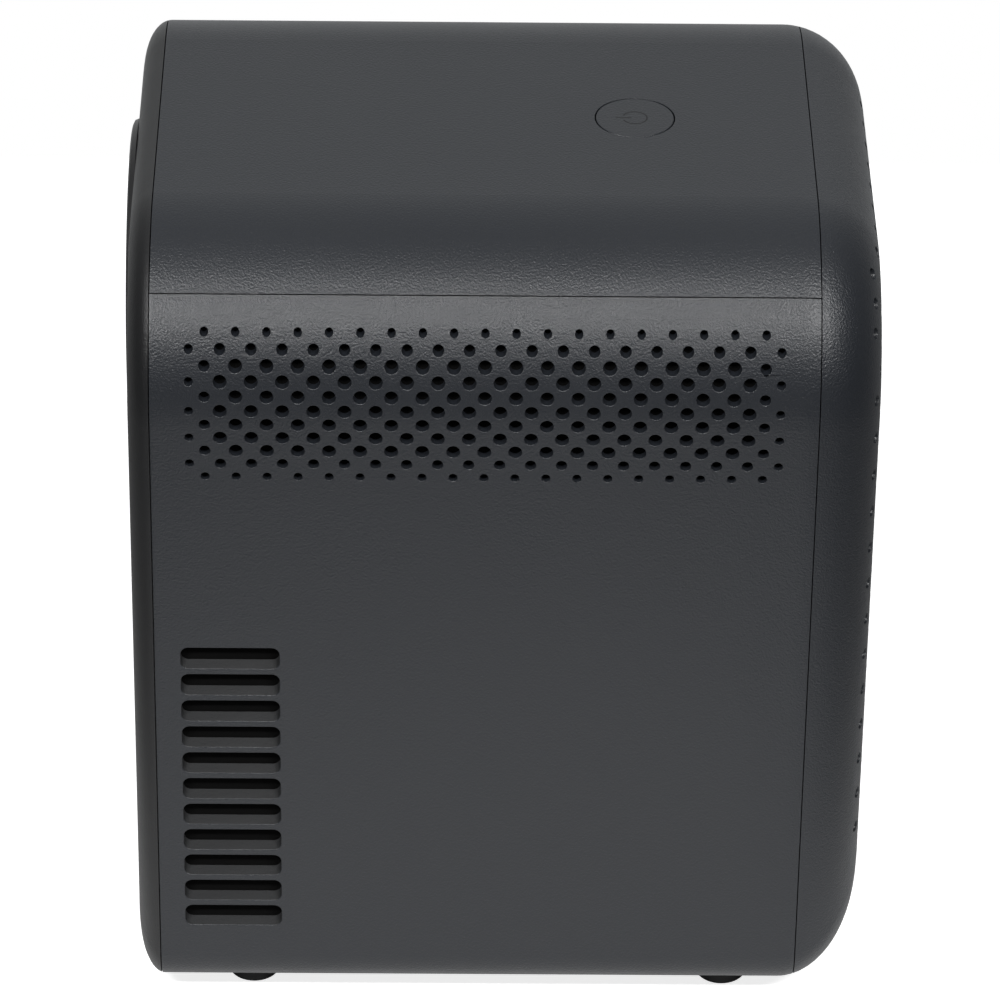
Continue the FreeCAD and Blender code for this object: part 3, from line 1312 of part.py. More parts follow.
def build_sled():
    y0 = sled_start_y
    y1 = y0 + sled_length
    low = deck_top_z + sled_low
    high = low + sled_height
    eye_y = y0 + pickup_from_edge
    body = slab(0, rod_x + sled_edge, y0, y1, low, high)
    notch = slab(0, sled_notch_half, y0 - spare, y0 + sled_notch_depth, low - spare, high + spare)
    eye = [rod(Vec(0, eye_y, high - root), Z_AXIS, pickup_radius, pickup_height + root),
           rod(Vec(0, eye_y, high), Z_AXIS, pickup_lens_radius, pickup_height + pickup_lens_height)]
    bores = [bore(Vec(sx * rod_x, y0, rod_z), Y_AXIS, rod_radius + running_gap, sled_length) for sx in SIDES]
    pitch = math.pi * gear_module
    teeth = rack(rod_x + sled_rack_x, 1, rod_x + rod_post_half + slide_gap,
                 sled_gear_y - sled_travel - rack_spare_teeth * pitch, sled_gear_y + rack_spare_teeth * pitch,
                 sled_gear_y, sled_rack_z, sled_rack_z + sled_rack_height)
    save("pickup_sled", cut(join([body.cut(notch)] + eye + teeth), bores))

    wheel = gear(sled_gear_teeth, sled_gear_width, shaft_radius)
    wheel.translate(Vec(sled_gear_x, sled_gear_y, sled_rack_z))
    motor_low = deck_z - sled_motor_length
    shaft_low = motor_low + motor_end_wall + fit_gap
    shaft = rod(Vec(sled_gear_x, sled_gear_y, shaft_low), Z_AXIS, shaft_radius,
                sled_rack_z + sled_gear_width - shaft_low)
    save("sled_gear", join([wheel, shaft]))
    can = rod(Vec(sled_gear_x, sled_gear_y, motor_low), Z_AXIS, sled_motor_radius, sled_motor_length)
    spigot = rod(Vec(sled_gear_x, sled_gear_y, deck_z - root), Z_AXIS, motor_spigot_radius, deck_thickness)
    hole = rod(Vec(sled_gear_x, sled_gear_y, motor_low + motor_end_wall), Z_AXIS, shaft_radius + running_gap,
               deck_top_z - motor_low)
    save("sled_motor", join([can, spigot]).cut(hole))


def build_cam_slide():
    """The slide whose slanted slot carries the deck's front pin down and up."""
    arm = deck_pivot_y - cam_y - cam_thickness / 2
    drop = arm * math.sin(math.radians(deck_tilt))
    plate = box(-cam_travel - cam_end, cam_end, cam_y, cam_y + cam_thickness,
                drive_base_z + drive_plate + fit_gap / 2, deck_pivot_z + cam_over_pin)
    slot_r = cam_pin_radius + slide_gap
    length = cam_thickness + 2 * spare
    start = Vec(0, cam_y - spare, deck_pivot_z)
    end = start + Vec(-cam_travel, 0, -drop)
    across = Vec(drop, 0, -cam_travel).normalize() * slot_r
    band = polygon_face([start + across, end + across, end - across, start - across])
    save("cam_slide", cut(plate, [rod(start, Y_AXIS, slot_r, length), rod(end, Y_AXIS, slot_r, length),
                                  band.extrude(Y_AXIS * length)]))


def build_clamp():
    over = bridge_z + bridge_thickness
    beam = slab(0, drive_half_width - root, spindle_y - bridge_half_depth, spindle_y + bridge_half_depth,
                bridge_z, over)
    boss = rod(Vec(0, spindle_y, bridge_z), Z_AXIS, puck_radius + bridge_ring, bridge_thickness)
    hole = bore(Vec(0, spindle_y, bridge_z), Z_AXIS, bridge_bore_radius, bridge_thickness)
    save("clamp_bridge", beam.fuse(boss).cut(hole))
    low = disc_seat_z + puck_over_boss
    head = over + fit_gap
    save("clamp_puck", lathe_z([(0, low), (puck_radius, low), (puck_radius, low + puck_plate),
                                (puck_neck_radius, low + puck_plate), (puck_neck_radius, head),
                                (puck_head_radius, head), (puck_head_radius, clamp_top_z), (0, clamp_top_z)],
                               0, spindle_y))


# ---------------------------------------------------------------- sockets, boards and loudspeakers
def connector(x, width, height, tongue_rise):
    """Open socket facing the back: a metal shell with its contact tongue."""
    y1 = port_panel_y - fit_gap
    half_w, half_h = width / 2, height / 2
    shell = slab(x, half_w, board_y - seat_gap, y1, port_z - half_h, port_z + half_h)
    inside = slab(x, half_w - connector_metal, board_y + connector_back, y1 + spare,
                  port_z - half_h + connector_metal, port_z + half_h - connector_metal)
    z = port_z + tongue_rise
    tongue = slab(x, half_w - connector_tongue_inset, board_y + connector_back - root, y1 - spare,
                  z - connector_tongue, z + connector_tongue)
    return shell.cut(inside).fuse(tongue)


def build_sockets():
    face = port_panel_y
    back = face - port_frame
    frame_half = port_panel_half_width + port_frame
    panel = slab(0, frame_half, back, face - seat_gap,
                 port_panel_low_z - port_frame, port_panel_high_z + port_frame)
    holes = []
    sockets = []
    for share, width, height, tongue_rise in socket_row:
        x = share * port_panel_half_width
        half_w, half_h = width / 2 + fit_gap, height / 2 + fit_gap
        holes.append(slab(x, half_w, back - spare, face + spare, port_z - half_h, port_z + half_h))
        sockets.append(connector(x, width, height, tongue_rise))
    for share in jack_row:
        x = share * port_panel_half_width
        holes.append(bore(Vec(x, back, port_z), Y_AXIS, jack_radius + fit_gap, port_frame))
        sockets.append(tube(Vec(x, board_y - seat_gap, port_z), Y_AXIS, jack_radius, jack_bore_radius,
                            face - fit_gap - board_y + seat_gap))
    inlet_z0, inlet_z1 = port_z - inlet_half_height, port_z + inlet_half_height
    holes.append(slab(inlet_x, inlet_half_width + fit_gap, back - spare, face + spare,
                      inlet_z0 - fit_gap, inlet_z1 + fit_gap))
    save("port_panel", cut(panel, holes))

    low = base_z + main_board_rise
    board = box(main_board_share * port_panel_half_width, port_panel_half_width + main_board_over,
                board_y - board_thickness, board_y, low, low + main_board_height)
    chips = []
    for share, half_x, rise, height, thickness in main_board_chips:
        chips.append(slab(share * port_panel_half_width, half_x, board_y, board_y + thickness,
                          low + rise, low + rise + height))
    save("main_board", join([board] + sockets + chips))

    hollow_y = board_y + inlet_back
    length = face + spare - hollow_y
    body = slab(inlet_x, inlet_half_width, board_y, face - fit_gap, inlet_z0, inlet_z1)
    flange = slab(inlet_x, inlet_half_width + inlet_flange, back - inlet_flange_thickness, back - seat_gap,
                  inlet_z0 - inlet_flange / 2, inlet_z1 + inlet_flange / 2)
    hollow = [rod(Vec(inlet_x + sx * inlet_lobe, hollow_y, port_z), Y_AXIS, inlet_lobe, length)
              for sx in SIDES]
    hollow.append(slab(inlet_x, inlet_lobe, hollow_y, hollow_y + length,
                       port_z - inlet_lobe, port_z + inlet_lobe))
    pins = [rod(Vec(inlet_x + sx * inlet_lobe, hollow_y - root, port_z), Y_AXIS, inlet_pin_radius,
                inlet_pin_length) for sx in SIDES]
    save("mains_inlet", join([body.fuse(flange).cut(join(hollow))] + pins))


def build_power_supply():
    side = -engine_half_width
    face = side - supply_stand_off
    back = face - board_thickness
    y = engine_front_y + supply_front
    z = engine_low_z + supply_rise
    forms = [box(back, face, y, y + supply_length, z, z + supply_height)]
    for setback, length, rise, height, depth in supply_blocks:
        forms.append(box(back - depth, back + seat_gap, y + setback, y + setback + length,
                         z + rise, z + rise + height))
    for rise in supply_capacitor_rises:
        forms.append(rod(Vec(back + seat_gap, y + supply_capacitor_setback, z + rise), -X_AXIS,
                         supply_capacitor_radius, supply_capacitor_length))
    for setback in supply_post_setbacks:
        for rise in supply_post_rises:
            forms.append(rod(Vec(side, y + setback, z + rise), -X_AXIS, supply_post_radius,
                             supply_stand_off + seat_gap))
    save("power_supply", join(forms))


def build_speakers():
    seat = rear_face_y - rear_wall
    back = seat - speaker_depth
    cone = speaker_radius - speaker_rim
    z = engine_low_z + speaker_rise
    for name, sx in (("left", -1), ("right", 1)):
        save("speaker_" + name, lathe_y([
            (0, back), (speaker_magnet_radius, back), (speaker_magnet_radius, back + speaker_magnet_depth),
            (speaker_magnet_radius + speaker_basket_step, back + speaker_magnet_depth + spare),
            (cone, seat - speaker_rim), (speaker_radius, seat - speaker_rim),
            (speaker_radius, seat - seat_gap), (cone, seat - seat_gap), (cone, seat - speaker_surround),
            (cone - speaker_surround_width, seat - speaker_rim - seat_gap),
            (speaker_cap_radius, seat - speaker_cone_depth),
            (speaker_cap_radius / 2, seat - speaker_cone_depth + speaker_cap_rise / 2),
            (0, seat - speaker_cone_depth + speaker_cap_rise)], sx * speaker_x, z))


# ---------------------------------------------------------------- buttons
def build_power_button():
    inner_z = top_z - wall
    cap = rod(Vec(0, button_y, inner_z), Z_AXIS, button_radius, wall)
    cap = cap.makeFillet(button_edge_radius, [e for e in cap.Edges if e.BoundBox.ZMin > inner_z + wall / 2])
    skirt_top = inner_z - slide_gap
    skirt = rod(Vec(0, button_y, skirt_top - button_flange), Z_AXIS,
                button_radius + button_flange_over, button_flange)
    neck = rod(Vec(0, button_y, skirt_top - seat_gap), Z_AXIS, button_radius - root, slide_gap + 2 * seat_gap)
    stem_z = button_board_z + switch_height + button_travel + switch_play
    stem = rod(Vec(0, button_y, stem_z), Z_AXIS, button_stem_radius, skirt_top - stem_z)
    save("power_button", join([cap, skirt, neck, stem]))
    half = button_board_depth / 2
    board = slab(0, button_board_width / 2, button_y - half, button_y + half,
                 button_board_z - board_thickness, button_board_z)
    half = switch_size / 2
    switch = slab(0, half, button_y - half, button_y + half,
                  button_board_z - seat_gap, button_board_z + switch_height)
    save("button_board", board.fuse(switch))


def build_eject_button():
    face = front_face_y
    collar_y = face + bezel_face + slide_gap
    key = rod(Vec(eject_x, face, eject_z), Y_AXIS, eject_radius, collar_y + root - face)
    key = key.makeFillet(eject_edge_radius, [e for e in key.Edges if e.BoundBox.YMax < face + root])
    collar = rod(Vec(eject_x, collar_y, eject_z), Y_AXIS, eject_radius + eject_collar, eject_collar)
    save("eject_button", key.fuse(collar))
    y = eject_board_y
    half = eject_switch_size / 2
    tact = slab(eject_x, half, y - eject_switch_height, y + seat_gap, eject_z - half, eject_z + half)
    reach = eject_peg_z + eject_peg_radius
    card = slab(eject_x, eject_card_half_width, y, y + board_thickness, eject_z - reach, eject_z + reach)
    save("eject_board", tact.fuse(card))


def main():
    os.makedirs("parts", exist_ok=True)
    build_casing()
    build_dust_screens()
    build_base_parts()
    build_lens_ring()
    build_barrel()
    build_focus_drive()
    build_engine_housing()
    build_optics()
    build_lamp()
    build_fans()
    build_chassis()
    build_tray()
    build_loading_drive()
    build_deck()
    build_spindle()
    build_sled()
    build_cam_slide()
    build_clamp()
    build_sockets()
    build_power_supply()
    build_speakers()
    build_power_button()
    build_eject_button()


main()
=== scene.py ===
import json
from math import radians
import bmesh
import bpy
from mathutils import Matrix, Vector
from mathutils.kdtree import KDTree


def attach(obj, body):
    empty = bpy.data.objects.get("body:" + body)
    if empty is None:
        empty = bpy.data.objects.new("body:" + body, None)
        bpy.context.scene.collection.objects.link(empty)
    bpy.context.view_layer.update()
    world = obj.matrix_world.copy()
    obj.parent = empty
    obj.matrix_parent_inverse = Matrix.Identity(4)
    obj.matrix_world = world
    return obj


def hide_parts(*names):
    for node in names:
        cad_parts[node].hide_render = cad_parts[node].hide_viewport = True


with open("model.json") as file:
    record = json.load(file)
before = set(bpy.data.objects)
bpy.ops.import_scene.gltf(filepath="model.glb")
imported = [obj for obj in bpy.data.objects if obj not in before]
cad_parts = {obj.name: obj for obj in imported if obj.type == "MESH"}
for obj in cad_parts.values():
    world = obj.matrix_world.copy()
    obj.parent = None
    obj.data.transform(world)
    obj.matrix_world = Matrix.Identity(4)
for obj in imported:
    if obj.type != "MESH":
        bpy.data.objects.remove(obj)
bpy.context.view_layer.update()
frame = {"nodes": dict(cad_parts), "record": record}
print("frame loaded,", len(frame["nodes"]), "nodes")

# the camera comes first
cameraView = {
    "place": (1.4130, -0.01865, 1.0193),
    "right": (0.00616, 0.99990, 0.01187),
    "up": (-0.54174, -0.00664, 0.84052),
    "focalLength": 219.6,
    "sensor": 36.0,
    "nearest": 0.05,
    "farthest": 60.0,
}


def addCamera(view):
    data = bpy.data.cameras.new("productCamera")
    data.lens = view["focalLength"]
    data.sensor_width = view["sensor"]
    data.clip_start = view["nearest"]
    data.clip_end = view["farthest"]
    camera = bpy.data.objects.new("productCamera", data)
    bpy.context.scene.collection.objects.link(camera)
    right = Vector(view["right"]).normalized()
    back = right.cross(Vector(view["up"])).normalized()
    turn = Matrix((right, back.cross(right), back)).transposed()
    camera.matrix_world = Matrix.Translation(view["place"]) @ turn.to_4x4()
    bpy.context.scene.camera = camera


addCamera(cameraView)
bpy.context.scene.view_settings.view_transform = "Standard"


class Wire:
    def __init__(self, paint, socket):
        self.paint = paint
        self.socket = socket

    def __add__(self, other):
        return self.paint.maths("ADD", self, other)

    __radd__ = __add__

    def __sub__(self, other):
        return self.paint.maths("SUBTRACT", self, other)

    def __rsub__(self, other):
        return self.paint.maths("SUBTRACT", other, self)

    def __mul__(self, other):
        return self.paint.maths("MULTIPLY", self, other)

    __rmul__ = __mul__

    def __gt__(self, other):
        return self.paint.maths("GREATER_THAN", self, other)

    def __lt__(self, other):
        return self.paint.maths("LESS_THAN", self, other)


class Paint:
    def __init__(self, owner):
        owner.use_nodes = True
        self.owner = owner
        self.tree = owner.node_tree

    def add(self, kind, settings, sockets, output=0):
        node = self.tree.nodes.new(kind)
        for name, value in settings.items():
            setattr(node, name, value)
        for key, value in sockets.items():
            self.feed(node.inputs[key], value)
        return Wire(self, node.outputs[output])

    def feed(self, socket, value):
        if isinstance(value, Wire):
            self.tree.links.new(value.socket, socket)
        else:
            socket.default_value = value

    def maths(self, operation, *values):
        settings = {"operation": operation}
        return self.add("ShaderNodeMath", settings, dict(enumerate(values)))

    def surface(self, sockets):
        shader = self.tree.nodes["Principled BSDF"]
        for name, value in sockets.items():
            self.feed(shader.inputs[name], value)
        return Wire(self, shader.outputs["BSDF"])

    def place(self):
        return self.add("ShaderNodeTexCoord", {}, {}, "Object")

    def axis(self, place, name):
        return self.add("ShaderNodeSeparateXYZ", {}, {"Vector": place}, name)

    def rays(self, *names):
        return [self.add("ShaderNodeLightPath", {}, {}, f"Is {name} Ray") for name in names]

    def noise(self, scale, detail, roughness=0.5):
        sockets = {"Vector": self.place(), "Scale": scale, "Detail": detail, "Roughness": roughness}
        return self.add("ShaderNodeTexNoise", {}, sockets, "Fac")

    def stretchedNoise(self, stretch, detail):
        mapped = self.add("ShaderNodeMapping", {}, {"Vector": self.place(), "Scale": stretch})
        sockets = {"Vector": mapped, "Scale": 1.0, "Detail": detail}
        return self.add("ShaderNodeTexNoise", {}, sockets, "Fac")

    def pits(self, scale):
        sockets = {"Vector": self.place(), "Scale": scale}
        return self.add("ShaderNodeTexVoronoi", {}, sockets, "Distance")

    def shades(self, share, first, second):
        sockets = {0: share, 6: first, 7: second}
        return self.add("ShaderNodeMix", {"data_type": "RGBA"}, sockets, 2)

    def mixed(self, share, first, second):
        return self.add("ShaderNodeMixShader", {}, {0: share, 1: first, 2: second})

    def fade(self, value, start, end, first, last):
        settings = {"interpolation_type": "SMOOTHSTEP"}
        sockets = {"Value": value, "From Min": start, "From Max": end,
                   "To Min": first, "To Max": last}
        return self.add("ShaderNodeMapRange", settings, sockets, "Result")

    def bump(self, height, distance):
        return self.add("ShaderNodeBump", {}, {"Height": height, "Distance": distance}, "Normal")


def materialPaint(name):
    return Paint(bpy.data.materials.new(name))


def tint(colour, level=1.0):
    return (colour[0] * level, colour[1] * level, colour[2] * level, 1.0)


# the studio: a pale floor that keeps the shadow and darkens toward the front and the rear,
# two long softboxes high on the camera's side, and a dim room that the camera sees as white
floorLook = {"size": 0.76, "colour": (0.70, 0.70, 0.70), "edgeColour": (0.12, 0.12, 0.12),
             "evenTo": 0.09, "darkFrom": 0.26, "rough": 0.9, "shine": 0.1, "lift": 0.80,
             "edgeLift": 1.0, "glossyShare": 0.1}
lampLooks = [
    {"name": "frontSoftbox", "place": (1.18, -0.80, 1.58), "aim": (0.07, -0.05, 0.20),
     "width": 0.22, "length": 0.90, "watts": 31.0},
    {"name": "rearSoftbox", "place": (1.18, 0.90, 1.58), "aim": (0.07, 0.05, 0.20),
     "width": 0.22, "length": 1.00, "watts": 31.0},
]
roomLook = {"colour": (0.97, 0.99, 1.0), "dim": 0.12, "bright": 0.62, "from": 0.4, "to": -0.9,
            "sideEvenTo": 0.25, "sideDarkFrom": 0.85, "sideShare": 0.3,
            "backdropColour": (1.0, 1.0, 1.0), "backdrop": 1.0}


def addFloor(look):
    bpy.ops.object.select_all(action="DESELECT")
    bpy.ops.mesh.primitive_plane_add(size=look["size"])
    floor = bpy.context.active_object
    floor.name = "studioFloor"
    paint = materialPaint("floorPaper")
    along = paint.axis(paint.place(), "Y")
    edge = paint.fade(paint.maths("ABSOLUTE", along), look["evenTo"], look["darkFrom"], 0.0, 1.0)
    paper = paint.surface({
        "Base Color": paint.shades(edge, tint(look["colour"]), tint(look["edgeColour"])),
        "Roughness": look["rough"], "Specular IOR Level": look["shine"]})
    lift = edge * (look["edgeLift"] - look["lift"]) + look["lift"]
    glow = paint.add("ShaderNodeEmission", {}, {"Strength": lift})
    lifted = paint.add("ShaderNodeAddShader", {}, {0: paper, 1: glow})
    camera, glossy, transmitted = paint.rays("Camera", "Glossy", "Transmission")
    seen = paint.maths("MAXIMUM", glossy, transmitted) * look["glossyShare"]
    shown = paint.mixed(paint.maths("MAXIMUM", camera, seen), paper, lifted)
    paint.feed(paint.tree.nodes["Material Output"].inputs["Surface"], shown)
    floor.data.materials.append(paint.owner)


def addLamps(looks):
    for look in looks:
        data = bpy.data.lights.new(look["name"], "AREA")
        data.shape = "RECTANGLE"
        data.size = look["width"]
        data.size_y = look["length"]
        data.energy = look["watts"]
        lamp = bpy.data.objects.new(look["name"], data)
        bpy.context.scene.collection.objects.link(lamp)
        beam = (Vector(look["place"]) - Vector(look["aim"])).normalized()
        across = Vector((0.0, 1.0, 0.0)).cross(beam).normalized()
        turn = Matrix((across, beam.cross(across), beam)).transposed()
        lamp.matrix_world = Matrix.Translation(look["place"]) @ turn.to_4x4()


def addRoom(look):
    world = bpy.data.worlds.new("studioRoom")
    bpy.context.scene.world = world
    paint = Paint(world)
    direction = paint.add("ShaderNodeTexCoord", {}, {}, "Generated")
    x, y = [paint.axis(direction, name) for name in "XY"]
    behind = paint.fade(x, look["to"], look["from"], look["bright"], look["dim"])
    sides = paint.fade(paint.maths("ABSOLUTE", y), look["sideEvenTo"], look["sideDarkFrom"],
                       1.0, look["sideShare"])
    sockets = {"Color": tint(look["colour"]), "Strength": behind * sides}
    room = paint.add("ShaderNodeBackground", {}, sockets)
    sockets = {"Color": tint(look["backdropColour"]), "Strength": look["backdrop"]}
    white = paint.add("ShaderNodeBackground", {}, sockets)
    camera, transmitted = paint.rays("Camera", "Transmission")
    shown = paint.mixed(paint.maths("MAXIMUM", camera, transmitted), room, white)
    paint.feed(paint.tree.nodes["World Output"].inputs["Surface"], shown)


addFloor(floorLook)
addLamps(lampLooks)
addRoom(roomLook)
print("studio ready")

# moulded plastics: a base colour that wanders a little, and a spark-eroded grain
plasticLooks = {
    # the slate shell's slots are made rougher and darkened with painted shade
    "slate_plastic": {"name": "slateShell", "colour": (0.0108, 0.0126, 0.0162), "rough": 0.40,
                      "grain": 1700.0, "depth": 0.00018, "wander": 0.06, "shine": 0.60,
                      "dullShadedSlots": True},
    "black_plastic": {"name": "bezelBlack", "colour": (0.0070, 0.0072, 0.0078), "rough": 0.42,
                      "grain": 2200.0, "depth": 0.00010, "wander": 0.10, "shine": 0.60},
    "ring_plastic": {"name": "ringBlack", "colour": (0.0160, 0.0160, 0.0165), "rough": 0.40,
                     "grain": 3200.0, "depth": 0.00002, "wander": 0.08, "shine": 0.5},
    "inner_plastic": {"name": "innerBlack", "colour": (0.0120, 0.0120, 0.0125), "rough": 0.62,
                      "grain": 1800.0, "depth": 0.00004, "wander": 0.15, "shine": 0.3},
    "gear_plastic": {"name": "gearAcetal", "colour": (0.72, 0.70, 0.64), "rough": 0.38,
                     "grain": 1800.0, "depth": 0.00001, "wander": 0.05, "shine": 0.5},
    "fan_plastic": {"name": "fanBlack", "colour": (0.0180, 0.0180, 0.0190), "rough": 0.42,
                    "grain": 1500.0, "depth": 0.00002, "wander": 0.10, "shine": 0.5},
    "drive_plastic": {"name": "driveGrey", "colour": (0.050, 0.051, 0.054), "rough": 0.5,
                      "grain": 2000.0, "depth": 0.00003, "wander": 0.10, "shine": 0.4},
    "tray_plastic": {"name": "trayBlack", "colour": (0.0190, 0.0190, 0.0200), "rough": 0.46,
                     "grain": 2400.0, "depth": 0.00003, "wander": 0.08, "shine": 0.45},
    "inlet_plastic": {"name": "inletBlack", "colour": (0.0140, 0.0140, 0.0140), "rough": 0.35,
                      "grain": 1500.0, "depth": 0.00002, "wander": 0.06, "shine": 0.5},
    "speaker_black": {"name": "speakerBlack", "colour": (0.0130, 0.0130, 0.0130), "rough": 0.7,
                      "grain": 900.0, "depth": 0.00006, "wander": 0.2, "shine": 0.25},
    "foot_rubber": {"name": "footRubber", "colour": (0.0150, 0.0150, 0.0150), "rough": 0.78,
                    "grain": 900.0, "depth": 0.00003, "wander": 0.15, "shine": 0.25},
    "screen_mesh": {"name": "screenMesh", "colour": (0.0030, 0.0030, 0.0030), "rough": 0.9,
                    "grain": 1200.0, "depth": 0.00005, "wander": 0.2, "shine": 0.05},
    "belt_rubber": {"name": "beltRubber", "colour": (0.0120, 0.0120, 0.0120), "rough": 0.75,
                    "grain": 1400.0, "depth": 0.00002, "wander": 0.1, "shine": 0.25},
}
plasticWear = {"cloud": 14.0, "cloudDetail": 3.0, "grainDetail": 2.0, "grainRough": 0.6,
               "roughSpread": 0.08, "speckle": 0.35, "speckleLevel": 3}
# the slots' sloping faces are moulded dull, and their colour is darkened to a quarter as painted
# shade in the slot recesses
slotDullAndShade = {"within": 0.08535, "from": -0.0845, "to": -0.0560, "low": 0.0255, "high": 0.120,
            "dullAndShaded": 0.36, "share": 0.25}


def slotMask(paint):
    x, y, z = [paint.axis(paint.place(), name) for name in "XYZ"]
    inside = paint.maths("ABSOLUTE", x) < slotDullAndShade["within"]
    along = (y > slotDullAndShade["from"]) * (y < slotDullAndShade["to"])
    return inside * along * (z > slotDullAndShade["low"]) * (z < slotDullAndShade["high"])


def plasticGround(paint, look):
    cloud = paint.noise(plasticWear["cloud"], plasticWear["cloudDetail"])
    grain = paint.noise(look["grain"], plasticWear["grainDetail"], plasticWear["grainRough"])
    wander = look["wander"]
    darker, lighter = [tint(look["colour"], level) for level in (1 - wander, 1 + wander)]
    return cloud, grain, paint.shades(cloud, darker, lighter)


def mouldedPlastic(look):
    paint = materialPaint(look["name"])
    cloud, grain, ground = plasticGround(paint, look)
    spread = plasticWear["roughSpread"]
    speckled = tint(look["colour"], 1 + plasticWear["speckleLevel"] * look["wander"])
    colour = paint.shades(grain * plasticWear["speckle"], ground, speckled)
    rough = cloud * spread + (look["rough"] - spread / 2)
    if "dullShadedSlots" in look:
        dullAndShaded = slotMask(paint)
        rough = rough + dullAndShaded * slotDullAndShade["dullAndShaded"]
        # painted shade: the slot faces' base colour is mixed toward a quarter of the plastic's
        # colour
        colour = paint.shades(dullAndShaded, colour, tint(look["colour"], slotDullAndShade["share"]))
    paint.surface({"Base Color": colour, "Roughness": rough, "Specular IOR Level": look["shine"],
                   "Normal": paint.bump(grain, look["depth"])})
    return paint.owner


# metals: brushed, drawn or stamped
metalWear = {"cloud": 40.0, "detail": 3.0, "dark": 0.86, "light": 1.1, "spread": 0.16,
             "depth": 0.00003}
metalLooks = {
    "screw_steel": {"name": "screwSteel", "colour": (0.30, 0.30, 0.31), "rough": 0.38,
                    "brush": (40.0, 40.0, 900.0)},
    "brass_insert": {"name": "insertBrass", "colour": (0.62, 0.45, 0.20), "rough": 0.3,
                     "brush": (60.0, 60.0, 1200.0)},
    "motor_steel": {"name": "motorSteel", "colour": (0.52, 0.52, 0.52), "rough": 0.32,
                    "brush": (60.0, 900.0, 60.0)},
    "sink_aluminium": {"name": "sinkAluminium", "colour": (0.70, 0.71, 0.72), "rough": 0.34,
                       "brush": (60.0, 60.0, 1400.0)},
    "sled_metal": {"name": "sledZinc", "colour": (0.46, 0.46, 0.47), "rough": 0.45,
                   "brush": (300.0, 300.0, 300.0)},
    "bridge_steel": {"name": "bridgeSteel", "colour": (0.58, 0.58, 0.57), "rough": 0.36,
                     "brush": (900.0, 60.0, 60.0)},
}


def workedMetal(look):
    paint = materialPaint(look["name"])
    lines = paint.stretchedNoise(look["brush"], metalWear["detail"])
    cloud = paint.noise(metalWear["cloud"], metalWear["detail"])
    dark, light = [tint(look["colour"], metalWear[level]) for level in ("dark", "light")]
    colour = paint.shades(cloud, dark, light)
    rough = lines * metalWear["spread"] + (look["rough"] - metalWear["spread"] / 2)
    paint.surface({"Base Color": colour, "Metallic": 1.0, "Roughness": rough,
                   "Normal": paint.bump(lines, metalWear["depth"])})
    return paint.owner


# glass and clear plastic, a little smeared
glassLooks = {
    "lens_glass": {"name": "lensGlass", "colour": (0.90, 0.95, 0.97), "rough": 0.03,
                   "passes": 1.0, "ior": 1.52},
    "panel_glass": {"name": "panelGlass", "colour": (0.10, 0.13, 0.16), "rough": 0.08,
                    "passes": 0.55, "ior": 1.5},
    "ir_window": {"name": "infraredWindow", "colour": (0.055, 0.006, 0.010), "rough": 0.07,
                  "passes": 0.35, "ior": 1.49},
}
glassWear = {"smear": 90.0, "detail": 4.0, "dark": 0.94, "spread": 0.04, "coat": 0.6,
             "coatRough": 0.02, "depth": 0.000002}


def clearGlass(look):
    paint = materialPaint(look["name"])
    smear = paint.noise(glassWear["smear"], glassWear["detail"])
    dark, plain = tint(look["colour"], glassWear["dark"]), tint(look["colour"])
    paint.surface({"Base Color": paint.shades(smear, dark, plain),
                   "Roughness": smear * glassWear["spread"] + look["rough"],
                   "IOR": look["ior"], "Transmission Weight": look["passes"],
                   "Coat Weight": glassWear["coat"], "Coat Roughness": glassWear["coatRough"],
                   "Normal": paint.bump(smear, glassWear["depth"])})
    return paint.owner


# the folding mirrors and the boards
mirrorLook = {"colour": (0.88, 0.90, 0.92), "rough": 0.04, "haze": 120.0, "detail": 3.0,
              "dark": 0.95, "spread": 0.03, "depth": 0.000002}
boardLook = {"mask": (0.010, 0.085, 0.034), "copper": (0.028, 0.150, 0.060), "rough": 0.36,
             "tracks": 160.0, "gap": 0.10, "cloud": 60.0, "detail": 2.0, "spread": 0.1,
             "coat": 0.4, "depth": 0.00003}
lampBoardLook = {"colour": (0.82, 0.82, 0.80), "phosphor": (0.86, 0.62, 0.10), "rough": 0.4,
                 "cloud": 90.0, "detail": 2.0, "cells": 220.0, "cellShare": 0.25, "spread": 0.1,
                 "depth": 0.00005}


def frontMirror(look):
    paint = materialPaint("foldingMirror")
    haze = paint.noise(look["haze"], look["detail"])
    colour = paint.shades(haze, tint(look["colour"], look["dark"]), tint(look["colour"]))
    paint.surface({"Base Color": colour, "Metallic": 1.0,
                   "Roughness": haze * look["spread"] + look["rough"],
                   "Normal": paint.bump(haze, look["depth"])})
    return paint.owner


def solderMask(look):
    paint = materialPaint("greenSolderMask")
    sockets = {"Vector": paint.place(), "Scale": look["tracks"], "Mortar Size": look["gap"]}
    tracks = paint.add("ShaderNodeTexBrick", {}, sockets, "Fac")
    cloud = paint.noise(look["cloud"], look["detail"])
    colour = paint.shades(tracks, tint(look["mask"]), tint(look["copper"]))
    paint.surface({"Base Color": colour, "Roughness": cloud * look["spread"] + look["rough"],
                   "Coat Weight": look["coat"], "Normal": paint.bump(tracks, look["depth"])})
    return paint.owner


def whiteBoard(look):
    paint = materialPaint("lampBoardWhite")
    cloud = paint.noise(look["cloud"], look["detail"])
    cells = paint.pits(look["cells"])
    colour = paint.shades(cells < look["cellShare"], tint(look["colour"]), tint(look["phosphor"]))
    paint.surface({"Base Color": colour, "Roughness": cloud * look["spread"] + look["rough"],
                   "Normal": paint.bump(cells, look["depth"])})
    return paint.owner


powerLook = {"centre": 0.03517, "radius": 0.003225, "stroke": 0.0004, "gap": 0.0012,
             "barFrom": 0.0010, "barTo": 0.0051, "ink": (0.0010, 0.0010, 0.0012),
             "inkRough": 0.35}


